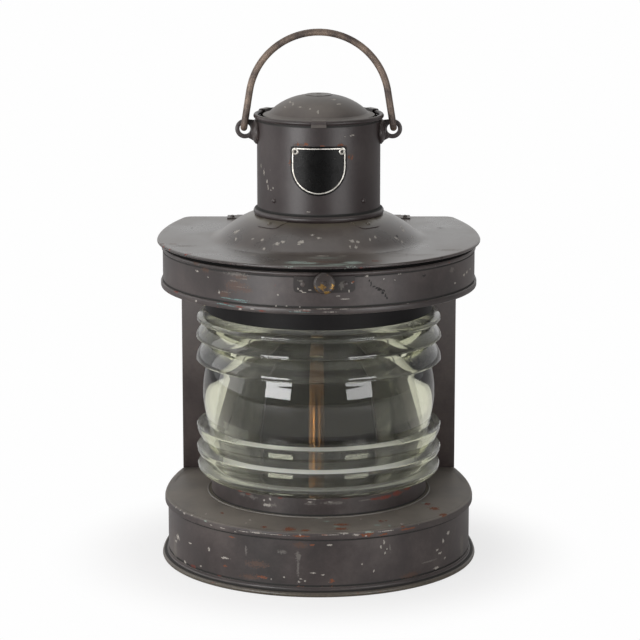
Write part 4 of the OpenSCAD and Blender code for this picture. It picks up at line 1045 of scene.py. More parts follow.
class LANTERN_OT_lens(bpy.types.Operator):
    """Drum lens, its collars and the bars that close its ends"""

    bl_idname = "lantern.lens"
    bl_label = "Lens"

    def execute(self, context):
        paint = painted_sheet()
        side = glass_side()
        upper = [(r, LENS_Z + h) for r, h in side]
        lower = [(r, LENS_Z - h) for r, h in reversed(side[1:])]
        end = GLASS_HALF + NECK_LEN
        lens = lathe("drum_lens", lower + upper + [(GLASS_IN_R, LENS_Z + end), (GLASS_IN_R, LENS_Z - end)], steps=220)
        cut_away(GLASS_END_Y)
        settle(lens, BODY, ["lens"], pressed_glass(), 40)

        r = high("lower_collar", 0)
        collar = lathe("lower_collar_ring", [
            (r - 1, SEAT_Z), (r, SEAT_Z), (r, LOW_COLLAR_TOP - 1.2), (r + 0.25, LOW_COLLAR_TOP - 0.8),
            (r + 0.15, LOW_COLLAR_TOP - 0.2), (r - 0.5, LOW_COLLAR_TOP), (r - 1, LOW_COLLAR_TOP - 0.3)])
        cut_away(BACK_Y)
        # seam at the collar's foot: dirt and painted shade
        settle(collar, BODY, ["lower_collar"], painted_sheet(
            "painted lower collar", chips=0.2, seams=[(SEAT_Z, 2.5)], wear=marks(inside_wall(r), COLLAR_MARKS)))

        r = high("upper_collar", 0)
        collar = lathe("upper_collar_ring", [
            (r - 1, TOP_COLLAR_LOW + 0.3), (r - 0.6, TOP_COLLAR_LOW), (r, TOP_COLLAR_LOW + 0.4), (r, DRUM_Z),
            (r - 1, DRUM_Z)])
        cut_away(BACK_Y)
        # near-black paint on the upper collar: painted shade under the drum
        tones = [context.scene.lantern_finish.collar] * 3
        settle(collar, BODY, ["upper_collar"], painted_sheet(
            "upper collar painted shade", tones, chips=0.0, sheen=(0.5, 0.6), gloss=0.12))

        half = high("back_plate", 0)
        outline = [
            (-half, BACK_Y), (half, BACK_Y), (half, BACK_Y + 1.6), (half - 2.5, BACK_Y + 1.6),
            (half - 2.5, BACK_Y + 0.8), (2.5 - half, BACK_Y + 0.8), (2.5 - half, BACK_Y + 1.6), (-half, BACK_Y + 1.6)]
        plate = prism("back_sheet", [(x, y, BASE_H) for x, y in outline], (0, 0, DRUM_Z - BASE_H))
        bevel_edges(plate, 0.35)
        # the strips beside the lens get the lighter tone, painted light; inside the lens, soot and painted shade
        finish = context.scene.lantern_finish
        tones = (finish.paint, finish.back, finish.paint_worn)
        settle(plate, BODY, ["back_plate"], painted_sheet(
            "painted back sheet", tones, chips=0.2, gloss=0.2, sooty=100))

        outer = high("glazing_bars", 0)
        inner = math.sqrt(GLASS_IN_R ** 2 - GLASS_END_Y ** 2) - 2
        bars = []
        outline = [
            (inner, BACK_Y), (inner, GLASS_END_Y), (outer, GLASS_END_Y), (outer, BACK_Y), (outer - 1, BACK_Y),
            (outer - 1, GLASS_END_Y + 1), (inner + 1, GLASS_END_Y + 1), (inner + 1, BACK_Y)]
        for side_x in (1, -1):
            bars.append(prism("bar", [(side_x * x, y, LOW_COLLAR_TOP) for x, y in outline], (0, 0, 2 * GLASS_HALF)))
            bevel_edges(bars[-1], 0.25)
        settle(join("lens_end_bars", bars), BODY, ["glazing_bars"], paint)
        return {"FINISHED"}


class LANTERN_OT_drum(bpy.types.Operator):
    """Top drum: wall with its bead, and the band round its foot"""

    bl_idname = "lantern.drum"
    bl_label = "Top drum"

    def execute(self, context):
        # seams under the bead and above the band: dirt and painted shade
        paint = painted_sheet(
            "painted drum wall", chips=0.4, edges=[(DRUM_TOP - 7, 2)], wear=marks(inside_wall(DRUM_R), DRUM_MARKS),
            seams=[(DRUM_TOP - 9.2, 0.9), (DRUM_Z + 6.0, 1.6)])
        top = DRUM_TOP - 5
        shell = carry_round_plan("drum_shell", [
            (DRUM_R - SHEET, DRUM_Z), (DRUM_R, DRUM_Z), (DRUM_R, top - 3.5), (DRUM_R + 0.4, top - 3.1),
            (DRUM_R + 0.85, top - 2.5), (DRUM_R + 1, top - 1.7), (DRUM_R + 0.85, top - 0.9), (DRUM_R + 0.4, top - 0.3),
            (DRUM_R, top), (DRUM_R - SHEET, top)])
        settle(shell, BODY, ["drum_wall"], paint)
        # the wall above the bead, under the lid's hem, is painted near black: painted shade in the gap under the lid
        neck = carry_round_plan("drum_neck", [
            (DRUM_R - SHEET, top), (DRUM_R, top), (DRUM_R, DRUM_TOP), (DRUM_R - SHEET, DRUM_TOP)])
        settle(neck, BODY, [], painted_sheet(
            "drum neck painted shade", ["060505"] * 3, dust=0.0, chips=0.0, sheen=(0.6, 0.7), gloss=0.05))
        out = DRUM_R + 1.9
        band = carry_round_plan("drum_foot_band", [
            (DRUM_R - 0.02, DRUM_Z), (out - 0.8, DRUM_Z), (out - 0.25, DRUM_Z + 0.3), (out, DRUM_Z + 1.0),
            (out, DRUM_Z + 4.4), (out - 0.25, DRUM_Z + 5.1), (out - 0.8, DRUM_Z + 5.5), (DRUM_R - 0.02, DRUM_Z + 5.5)])
        settle(band, BODY, ["drum_band"], painted_sheet(
            "painted drum band", chips=0.6, edges=[(DRUM_Z + 0.5, 2.5)], wear=marks(inside_wall(out), BAND_MARKS)))
        return {"FINISHED"}


def dome_line(r):
    """Height of the dome's outside at a radius: down from the chimney, then out level on the lid."""
    if r < DOME_TURN_R:
        t = max(r - CHIMNEY_R, 0) / (DOME_R - CHIMNEY_R)
        return LID_Z + (DOME_TOP - LID_Z) * (1 - t ** DOME_BEND)
    t = max(DOME_END_R - r, 0) / (DOME_END_R - DOME_TURN_R)
    return LID_Z + DOME_TURN_H * t ** 2


class LANTERN_OT_lid(bpy.types.Operator):
    """Lid: plate with its rolled edge, dome with its tabs and their rivets"""

    bl_idname = "lantern.lid"
    bl_label = "Lid"

    def execute(self, context):
        # the lid's dust lightens its level flats: dust and a painted sheen
        paint = painted_sheet(
            "painted lid", dust=0.36, chips=0.2, edges=[(LID_Z - 2.0, 2.2)], sheen=(0.22, 0.34), gloss=0.46,
            crusts=[(DOME_TOP - 0.8, 3.4)], wear=marks(under_lid_top, LID_MARKS, 2.4))
        under = LID_Z - 2.7
        line = [(LID_R - 2.2, under + 0.3), (LID_R - 1.6, under), (LID_R - 0.9, under)]
        line += arc(LID_R - 0.9, under + 0.9, 0.9, -60, 0, 3)
        line += arc(LID_R - 1.2, LID_Z - 1.2, 1.2, 0, 90, 6) + [(LID_R - 4, LID_Z)]
        plate = carry_round_plan("lid_sheet", line, closed=False)
        bpy.ops.mesh.select_all(action="DESELECT")
        bpy.ops.object.mode_set(mode="OBJECT")
        for edge in plate.data.edges:
            ends = [plate.data.vertices[i].co for i in edge.vertices]
            edge.select = all(abs(p.z - LID_Z * MM) < 1e-6 and on_plan(p, LID_R - 4) for p in ends)
        bpy.ops.object.mode_set(mode="EDIT")
        bpy.ops.mesh.select_mode(type="EDGE")
        bpy.ops.mesh.edge_face_add()
        tidy_mesh()
        bpy.ops.object.mode_set(mode="OBJECT")
        cutter = lathe("cutter", [(0, LID_Z - 9), (DOME_R - 4, LID_Z - 9), (DOME_R - 4, LID_Z + 9), (0, LID_Z + 9)])
        clear_selection()
        plate.select_set(True)
        bpy.context.view_layer.objects.active = plate
        bpy.ops.object.mode_set(mode="EDIT")
        tidy_mesh()
        thicken(plate, 1.0)
        bpy.ops.object.mode_set(mode="OBJECT")
        cut = plate.modifiers.new("Boolean", "BOOLEAN")
        cut.operation = "DIFFERENCE"
        cut.object = cutter
        cut.solver = "EXACT"
        bpy.ops.object.modifier_apply(modifier=cut.name)
        bpy.data.objects.remove(cutter)
        settle(plate, LID, ["lid_plate"], paint)

        steps = 40
        line = [(CHIMNEY_R - 0.4, dome_line(CHIMNEY_R) - 0.1)]
        line += [(r, max(dome_line(r), LID_Z + 0.04))
                 for r in [CHIMNEY_R + (DOME_END_R - 0.5 - CHIMNEY_R) * i / steps for i in range(steps + 1)]]
        line += [(DOME_END_R, LID_Z + 0.03), (DOME_END_R, LID_Z - 0.02)]
        under_r = DOME_END_R - (DOME_END_R - DOME_TURN_R) * math.sqrt(SHEET / DOME_TURN_H)
        line += [(under_r, LID_Z - 0.02)]
        line += [(r, dome_line(r) - SHEET)
                 for r in [under_r - 0.5 - (under_r - 0.5 - CHIMNEY_R) * i / 12 for i in range(13)]]
        settle(lathe("dome_shell", line), LID, ["dome"], paint)

        tabs = []
        for angle in (42, -42, 138, -138):
            tabs.append(dome_tab(angle))
        settle(join("dome_tab_plates", tabs), LID, ["dome_tabs"], paint)
        r = CHIMNEY_R + 10.2
        made = []
        for angle in (42, -42, 138, -138):
            a = math.radians(angle)
            slope = math.atan2(dome_line(r - 1) - dome_line(r + 1), 2)
            normal = (math.sin(a) * math.sin(slope), -math.cos(a) * math.sin(slope), math.cos(slope))
            made.append(rivet("r", (r * math.sin(a), -r * math.cos(a), dome_line(r) + 0.7), normal, 2.2, 1.5))
        settle(join("dome_tab_rivets", made), LID, ["tab_rivets"], paint)
        return {"FINISHED"}


def on_plan(point, r):
    """True where a point lies on the plan with front radius r."""
    x, y = abs(point.x) / MM, point.y / MM
    if y <= 0:
        return abs(math.hypot(x, y) - r) < 0.02
    flank = abs(math.hypot(x + FLANK_SHIFT, y) - FLANK_SHIFT - r) < 0.02
    corner = abs(math.hypot(x - CORNER_X, y - CORNER_Y) - (r - CORNER_SET)) < 0.02
    return flank or corner or abs(y - (r - REAR_SET)) < 0.02


# Rows of a dome tab: distance from the chimney and half width
TAB_ROWS = ((3.4, 15.2), (7.0, 14.3), (10.0, 13.6), (13.0, 12.8), (14.6, 11.6), (15.6, 10.0), (16.0, 8.2))


def dome_tab(angle):
    """A small trapezoid of sheet that lies on the dome at an angle from the front."""
    rows = []
    for r, half in TAB_ROWS:
        rows.append([(half * (2 * j / 8 - 1), CHIMNEY_R + r) for j in range(9)])
    clear_selection()
    bpy.ops.mesh.primitive_grid_add(x_subdivisions=8, y_subdivisions=6, size=2 * MM)
    tab = bpy.context.active_object
    turn = math.radians(angle)
    for vertex in tab.data.vertices:
        col = round((vertex.co.x / MM + 1) * 4)
        row = round((1 - vertex.co.y / MM) * 3)
        across, r = rows[row][col]
        a = across / r + turn
        vertex.co = Vector((r * math.sin(a), -r * math.cos(a), dome_line(r) + 0.75)) * MM
    bpy.ops.object.mode_set(mode="EDIT")
    bpy.ops.mesh.select_all(action="SELECT")
    bpy.ops.mesh.normals_make_consistent(inside=False)
    bpy.ops.object.mode_set(mode="OBJECT")
    if sum(face.normal.z for face in tab.data.polygons) < 0:
        bpy.ops.object.mode_set(mode="EDIT")
        bpy.ops.mesh.flip_normals()
    bpy.ops.object.mode_set(mode="EDIT")
    thicken(tab, 0.8)
    bpy.ops.object.mode_set(mode="OBJECT")
    return tab


class LANTERN_OT_chimney(bpy.types.Operator):
    """Chimney: wall, foot bead, wired rim and rivets"""

    bl_idname = "lantern.chimney"
    bl_label = "Chimney"

    def execute(self, context):
        finish = context.scene.lantern_finish
        # the chimney's middle tone is the darker, shaded copy of the body paint: painted shade
        tones = (finish.paint_dark, finish.stack, finish.paint)
        # seams above the foot bead and under the rim: dirt and painted shade
        paint = painted_sheet(
            "painted chimney", tones, chips=0.0, wear=marks(inside_wall(CHIMNEY_R), CHIMNEY_MARKS),
            seams=[(DOME_TOP + 6.2, 1.5), (RIM_Z - 3.4, 1.2)])
        wall = lathe("chimney_wall", [
            (CHIMNEY_R - SHEET, DOME_TOP - 3), (CHIMNEY_R, DOME_TOP - 3), (CHIMNEY_R, RIM_Z - 2),
            (CHIMNEY_R - SHEET, RIM_Z - 2)])
        settle(wall, LID, ["chimney"], paint)
        r = 3.4
        z = DOME_TOP + r - 0.9
        bead = lathe("chimney_foot_bead", (
            [(CHIMNEY_R - 0.02, z + r)] + arc(CHIMNEY_R, z, r, 88, -75, 14) + [(CHIMNEY_R - 0.02, z - r)]))
        settle(bead, LID, ["chimney_foot_ring"], paint)
        rim = lathe("chimney_rim_wire", arc(RIM_R, RIM_Z, RIM_BEAD_R, 0, 360, 18)[:-1])
        settle(rim, LID, ["chimney_rim"], paint)
        heads = rivets_round("chimney_rivet_heads", CHIMNEY_R, (46, -46, 134, -134), LID_Z + 40, 2.2, 1.5)
        settle(heads, LID, ["chimney_rivets"], paint)
        return {"FINISHED"}


# Half sizes of the domed foot of an ear
BOSS = (5.8, 17.0, 12.0)


class LANTERN_OT_ears(bpy.types.Operator):
    """Ears that carry the bail"""

    bl_idname = "lantern.ears"
    bl_label = "Ears"

    def execute(self, context):
        paint = painted_sheet()
        ear_x = high("ears", 0) - 9
        ear_z = PIVOT_Z - 7
        made = []
        outline = [(CHIMNEY_R + 0.8, ear_z - 12.2)] + arc(ear_x, ear_z, 9, -110, 95, 28) + [(CHIMNEY_R + 0.8, ear_z + 8)]
        lug = prism("lug", [(x, 1.2, z) for x, z in outline], (0, -2.4, 0))
        bpy.ops.object.mode_set(mode="OBJECT")
        hole = prism("cutter", [(x, 3, z) for x, z in arc(ear_x, ear_z, 5, 0, 360, 32)[:-1]], (0, -6, 0))
        clear_selection()
        lug.select_set(True)
        bpy.context.view_layer.objects.active = lug
        cut = lug.modifiers.new("Boolean", "BOOLEAN")
        cut.operation = "DIFFERENCE"
        cut.object = hole
        cut.solver = "EXACT"
        bpy.ops.object.modifier_apply(modifier=cut.name)
        bpy.data.objects.remove(hole)
        bevel_edges(lug, 0.45, 2, 50)
        bpy.ops.object.mode_set(mode="OBJECT")
        pad = bent_plate("pad", 19, 21.4, 1.6, CHIMNEY_R, 2.0)
        edit(pad)
        bpy.ops.mesh.select_all(action="SELECT")
        bpy.ops.transform.translate(value=(0, 0, (ear_z - 13 + 10.7) * MM))
        bpy.ops.object.mode_set(mode="OBJECT")
        pad_right = copy_turned(pad, 90)
        bpy.data.objects.remove(pad)
        clear_selection()
        bpy.ops.mesh.primitive_uv_sphere_add(
            segments=40, ring_count=20, radius=MM, location=(0, 0, 0))
        boss = bpy.context.active_object
        edit(boss)
        bpy.ops.mesh.select_all(action="SELECT")
        bpy.ops.transform.resize(value=BOSS)
        bpy.ops.transform.translate(value=((CHIMNEY_R - 0.6) * MM, 0, (ear_z - 2.0) * MM))
        bpy.ops.object.mode_set(mode="OBJECT")
        right = join("ear", [lug, pad_right, boss])
        left = copy_mirrored(right)
        ears = join("bail_ears", [right, left])
        settle(ears, LID, ["ears"], paint)
        heads = rivets_round(
            "ear_rivet_heads", CHIMNEY_R + 1.6, (83.8, 96.2, -83.8, -96.2), ear_z - 1, 1.6, 1.1)
        settle(heads, LID, ["ear_rivets"], paint)
        return {"FINISHED"}


def bent_plate(name, width, tall, thick, radius, corner, round_low=None):
    """A flat plate with round corners, bent round a wall in front of the lens axis."""
    half = width / 2
    top = tall / 2
    lower = round_low or corner
    outline = (
        arc(half - lower, -top + lower, lower, -90, 0, 14 if round_low else 4)
        + arc(half - corner, top - corner, corner, 0, 90, 4)
        + arc(-half + corner, top - corner, corner, 90, 180, 4)
        + arc(-half + lower, -top + lower, lower, 180, 270, 14 if round_low else 4))
    cleaned = [p for i, p in enumerate(outline) if math.dist(p, outline[i - 1]) > 1e-4]
    piece = draw_line(name, [(x, 0, z) for x, z in cleaned], closed=True)
    bpy.ops.mesh.edge_face_add()
    cuts = 24
    for i in range(1, cuts):
        bpy.ops.mesh.select_all(action="SELECT")
        bpy.ops.mesh.bisect(plane_co=((2 * i / cuts - 1) * half * MM, 0, 0), plane_no=(1, 0, 0))
    bpy.ops.mesh.select_all(action="SELECT")
    bpy.ops.mesh.extrude_region_move(TRANSFORM_OT_translate={"value": (0, -thick * MM, 0)})
    tidy_mesh()
    wrap(piece, radius)
    return piece


class LANTERN_OT_badge(bpy.types.Operator):
    """Blank badge plate on the chimney, with its border and eyelets"""

    bl_idname = "lantern.badge"
    bl_label = "Badge"

    def execute(self, context):
        half = 26.0
        tall = 45.0
        z = high("badge") - tall / 2
        plate = bent_plate("plate", 2 * half, tall, 0.8, CHIMNEY_R, 3.0, half - 0.01)
        edit(plate)
        bpy.ops.mesh.select_all(action="SELECT")
        bpy.ops.transform.translate(value=(0, 0, z * MM))
        bpy.ops.object.mode_set(mode="OBJECT")
        plate.name = "badge_plate"
        settle(plate, LID, ["badge"], enamel())
        line = border_line(half - 1.7, tall / 2 - 1.7, 2.2, context.scene.lantern_shape.badge_border / MM)
        edit(line)
        bpy.ops.mesh.select_all(action="SELECT")
        bpy.ops.transform.translate(value=(0, 0, z * MM))
        bpy.ops.object.mode_set(mode="OBJECT")
        line.name = "badge_border"
        settle(line, LID, [], metal("worn nickel", "c9c6bf", "77736c", 0.35))
        r = CHIMNEY_R + 0.8
        angle = math.degrees(math.asin((half - 5) / r))
        rings = [eyelet(r, a, high("badge") - 5) for a in (angle, -angle)]
        settle(join("badge_eyelet_rings", rings), LID, ["badge_eyelets"],
               metal("worn nickel", "c9c6bf", "77736c", 0.35))
        return {"FINISHED"}


def eyelet(radius, degrees, z):
    """A rolled eyelet with a hollow in its middle, on a round wall at an angle from the front."""
    a = math.radians(degrees)
    normal = Vector((math.sin(a), -math.cos(a), 0))
    centre = normal * radius + Vector((0, 0, z))
    side = Vector((math.cos(a), math.sin(a), 0))
    line = [(3.0, -0.2), (3.0, 0.3), (2.6, 0.75), (2.0, 0.9), (1.5, 0.7), (1.2, 0.1), (0.9, -0.3), (0, -0.35)]
    ring = draw_line("eyelet", [tuple(centre + side * r + normal * h) for r, h in line])
    spin(24, 360, centre, normal)
    tidy_mesh()
    return ring


def border_line(half, top, corner, width):
    """A thin raised line that follows the badge's outline, bent round the chimney."""
    outer = border_outline(half, top, corner)
    inner = border_outline(half - width, top - width, max(corner - width, 0.5))
    strips = []
    piece = draw_line("line", [(x, 0, z) for x, z in outer], closed=True)
    inner_piece = draw_line("inner", [(x, 0, z) for x, z in inner], closed=True)
    bpy.ops.object.mode_set(mode="OBJECT")
    strips = join("line", [piece, inner_piece])
    edit(strips)
    bpy.ops.mesh.select_all(action="SELECT")
    bpy.ops.mesh.bridge_edge_loops()
    bpy.ops.mesh.select_all(action="SELECT")
    bpy.ops.mesh.extrude_region_move(TRANSFORM_OT_translate={"value": (0, -0.3 * MM, 0)})
    bpy.ops.mesh.select_all(action="SELECT")
    bpy.ops.transform.translate(value=(0, -0.75 * MM, 0))
    tidy_mesh()
    wrap(strips, CHIMNEY_R)
    return strips


def border_outline(half, top, corner):
    """Outline of the badge's border with a half-round lower end."""
    low_z = -top + half
    sides = 10
    points = arc(0, low_z, half, 180, 360, 40)
    points += [(half, low_z + (top - corner - low_z) * i / sides) for i in range(1, sides)]
    points += arc(half - corner, top - corner, corner, 0, 90, 6)
    points += [(half - corner - 2 * (half - corner) * i / 16, top) for i in range(1, 16)]
    points += arc(-half + corner, top - corner, corner, 90, 180, 6)
    points += [(-half, top - corner - (top - corner - low_z) * i / sides) for i in range(1, sides)]
    return points


def cap_line(r):
    """Height of the cap's outside, from its middle to its brim."""
    return CAP_Z + CAP_RISE * (1 - (r / (CAP_R - CAP_BRIM + 2)) ** 2.4) ** 0.85


def under_cap_top(x, y, z):
    """Test for the cap."""
    r = math.hypot(x, y)
    return r < CAP_R - CAP_BRIM and z < cap_line(r)


class LANTERN_OT_cap(bpy.types.Operator):
    """Cap over the chimney, with its disc and clips"""

    bl_idname = "lantern.cap"
    bl_label = "Cap"

    def execute(self, context):
        paint = painted_sheet("painted cap", dust=0.6, chips=0.2, wear=marks(under_cap_top, CAP_MARKS))
        brim = CAP_R - CAP_BRIM
        radii = [brim * math.sin(math.radians(3 * i)) for i in range(31)]
        outer = [(r, cap_line(r)) for r in radii]
        outer += [(CAP_R - 3.4, CAP_Z + 1.6), (CAP_R - 2.5, CAP_Z + 1.1), (CAP_R - 0.4, CAP_Z + SHEET)]
        outer += [(CAP_R, CAP_Z + SHEET - 0.3), (CAP_R, CAP_Z), (CAP_R - 1.2, CAP_Z), (CAP_R - 2.7, CAP_Z + 0.3)]
        inner = [(r * (1 - 0.55 / brim), cap_line(r) - 0.9 * SHEET) for r in reversed(radii)]
        settle(lathe("cap_shell", outer + inner, closed=False), LID, ["cap"], paint)
        out = high("cap_disc", 0)
        top = cap_line(0) + 0.25
        disc = lathe("cap_disc_plate", [
            (0, cap_line(0) - 0.4), (out - 1, cap_line(out) - 0.4), (out, cap_line(out) - 0.1),
            (out, cap_line(out) + 0.3), (out - 0.5, cap_line(out) + 0.5), (out - 2.5, cap_line(out - 2.5) + 0.3),
            (4, top), (2.2, top), (1.8, top + 0.35), (0, top + 0.45)], closed=False)
        settle(disc, LID, ["cap_disc"], paint)
        in_r = RIM_R - RIM_BEAD_R
        out_r = RIM_R + RIM_BEAD_R + 0.2
        over = RIM_Z + RIM_BEAD_R + 0.05
        base = CAP_Z - 0.1
        t = 0.6
        foot_z = RIM_Z - 3.5
        section = [
            (CAP_R - 2.5, base - t), (in_r - 1, base - t), (in_r - 0.4, over), (out_r - 0.6, over),
            (out_r, over - 0.7), (out_r, foot_z + 2.2), (out_r + 2.3, foot_z - 0.1), (out_r + 2.9, foot_z + 0.3),
            (out_r + t, foot_z + 2.5), (out_r + t, over - 0.6), (out_r - 0.3, over + t), (in_r - 1.1, over + t),
            (in_r - 1.7, base), (CAP_R - 2.5, base)]
        half = math.degrees(math.asin(6.7 / out_r))
        clips = []
        for angle in (0, 120, 240):
            a = math.radians(angle - half)
            points = [(r * math.sin(a), -r * math.cos(a), z) for r, z in section]
            clip = draw_line("clip", points, closed=True)
            bpy.ops.mesh.edge_face_add()
            spin(8, -2 * half)
            tidy_mesh()
            bpy.ops.object.mode_set(mode="OBJECT")
            clips.append(clip)
        settle(join("cap_clip_strips", clips), LID, ["cap_clips"], paint)
        return {"FINISHED"}


class LANTERN_OT_bail(bpy.types.Operator):
    """Bail: one rod with a hooked end in each ear"""

    bl_idname = "lantern.bail"
    bl_label = "Bail"

    def execute(self, context):
        rod = context.scene.lantern_shape.rod / MM
        ear_x = high("ears", 0) - 9
        hook = math.sqrt(2.0 ** 2 + 1.2 ** 2) + rod + 0.5
        arch_r = 64.0
        arch_up = 18.3
        reach = math.hypot(ear_x, arch_up)
        lean = math.acos(arch_r / reach) - math.atan2(arch_up, ear_x)
        leg = math.sqrt(reach ** 2 - arch_r ** 2)
        up = Vector((-math.sin(lean), 0, math.cos(lean)))
        tip = Vector((ear_x, hook, PIVOT_Z)) + up * 16
        ring = [
            tuple(tip + Vector((math.cos(lean), 0, math.sin(lean))) * rod * math.cos(a) + Vector((0, 1, 0)) * rod * math.sin(a))
            for a in [math.radians(22.5 * i) for i in range(16)]]
        bail = draw_line("bail_rod", ring, closed=True)
        bpy.ops.mesh.edge_face_add()
        across = (math.cos(lean), 0, math.sin(lean))
        bpy.ops.mesh.extrude_region_move(TRANSFORM_OT_translate={"value": -up * 16 * MM})
        spin(16, 180, (ear_x, 0, PIVOT_Z), across)
        bpy.ops.mesh.extrude_region_move(TRANSFORM_OT_translate={"value": up * leg * MM})
        lean_degrees = math.degrees(lean)
        spin(36, 90 - lean_degrees, (0, -hook, PIVOT_Z + arch_up), (0, 1, 0))
        bpy.ops.mesh.delete(type="ONLY_FACE")
        bpy.ops.object.mode_set(mode="OBJECT")
        mirror = bail.modifiers.new("Mirror", "MIRROR")
        mirror.use_axis[0] = True
        mirror.use_mirror_merge = True
        mirror.merge_threshold = 5e-6
        bpy.ops.object.modifier_apply(modifier=mirror.name)
        bpy.ops.object.mode_set(mode="EDIT")
        tidy_mesh()
        bevel_edges(bail, 0.8, 3, 60)
        settle(bail, "bail", ["bail"], rusted_rod(), 50)
        return {"FINISHED"}


class LANTERN_OT_latch(bpy.types.Operator):
    """Latch: plate on the drum, and the knob"""

    bl_idname = "lantern.latch"
    bl_label = "Latch"

    def execute(self, context):
        plate = bent_plate("plate", 54, 14.5, 1.2, DRUM_R, 1.0, 4.0)
        edit(plate)
        bpy.ops.mesh.select_all(action="SELECT")
        bpy.ops.transform.translate(value=(0, 0, (high("latch_plate") - 7.25) * MM))
        bpy.ops.object.mode_set(mode="OBJECT")
        turned = copy_turned(plate, math.degrees(LATCH_X / DRUM_R))
        bpy.data.objects.remove(plate)
        turned.name = "latch_plate_strip"
        tones = [context.scene.lantern_finish.paint_dark] * 3
        settle(turned, BODY, ["latch_plate"], painted_sheet(
            "painted latch plate", tones, chips=0.3, gloss=0.3, wear=marks(inside_wall(DRUM_R + 1.2), LATCH_MARKS)))
        r = DRUM_R + 1.2
        angles = [math.degrees(math.asin((LATCH_X + side * 18.9) / r)) for side in (-1, 1)]
        heads = rivets_round("latch_rivet_heads", r, angles, LATCH_Z - 2, 2.2, 0.9)
        settle(heads, BODY, ["latch_rivets"], painted_sheet())

        neck = DRUM_R + 1.2 + 0.3
        face = -KNOB_FACE_Y
        line = [(0, 137.6), (2.5, 137.6), (2.5, neck), (4.5, neck), (4.5, face - 4)]
        line += [(KNOB_R - 0.8, face - 4), (KNOB_R, face - 3.3), (KNOB_R, face - 0.9), (KNOB_R - 0.7, face - 0.2)]
        line += [(KNOB_R - 1.6, face), (KNOB_R - 2.4, face - 0.35), (2.6, face - 0.45), (2.1, face - 0.1), (0, face + 0.0)]
        knob = draw_line("latch_knob_disc", [(LATCH_X + r, -y, LATCH_Z) for r, y in line])
        spin(48, 360, (LATCH_X, 0, LATCH_Z), (0, 1, 0))
        tidy_mesh()
        settle(knob, "latch", ["latch_knob"], knob_brass())
        return {"FINISHED"}


class LANTERN_OT_back(bpy.types.Operator):
    """Mast socket on the back, and its rivets"""

    bl_idname = "lantern.back"
    bl_label = "Mast socket"

    def execute(self, context):
        paint = painted_sheet()
        face = low("mast_socket", 1)
        depth = high("mast_socket", 1) - face - 1.5
        half = high("mast_socket", 0)
        inner = half - 14
        t = 1.5
        outline = [
            (half, face), (half, face + t), (inner + t, face + t), (inner + t, face + depth + t),
            (-inner - t, face + depth + t), (-inner - t, face + t), (-half, face + t), (-half, face),
            (-inner, face), (-inner, face + depth), (inner, face + depth), (inner, face)]
        z0 = low("mast_socket")
        socket = prism("socket_strap", [(x, y, z0) for x, y in outline], (0, 0, high("mast_socket") - z0))
        bevel_edges(socket, 0.4)
        settle(socket, BODY, ["mast_socket"], paint)
        across = inner + t + (14 - t) / 2
        middle = (z0 + high("mast_socket")) / 2
        made = []
        for side in (-1, 1):
            for row in (-1, 0, 1):
                made.append(rivet("r", (side * across, face + t, middle + row * 38), (0, 1, 0), 2.2, 1.6))
        settle(join("socket_rivet_heads", made), BODY, ["socket_rivets"], paint)
        return {"FINISHED"}


class LANTERN_OT_frame_finish(bpy.types.Operator):
    """Finish of the CAD nodes that are kept as they are"""

    bl_idname = "lantern.frame_finish"
    bl_label = "Kept parts"

    def execute(self, context):
        paint = painted_sheet()
        by_slot = {
            "body_paint": paint,
            "socket_paint": paint,
            "putty": soft_matter("glazing putty", "8a7d68", "5a4f41"),
            "brass": brass(),
            "font_tin": metal("dull tinplate", "8d8a83", "56524c", 0.45),
            "pin_steel": metal("rusted steel pin", "6d5a4d", "3f3029", 0.5, 400.0, 0.5),
            "wick_cotton": soft_matter("charred cotton wick", "b9ac92", "4a4038"),
            "badge_enamel": enamel(),
            "eyelet_metal": metal("worn nickel", "c9c6bf", "77736c", 0.35),
            "bail_iron": rusted_rod(),
            "lens_glass": pressed_glass(),
        }
        slots = {part["node"]: part["material_slot"] for part in frame["record"]["subparts"]}
        for name, node in frame["nodes"].items():
            node.data.materials.clear()
            node.data.materials.append(by_slot[slots[name]])
        return {"FINISHED"}


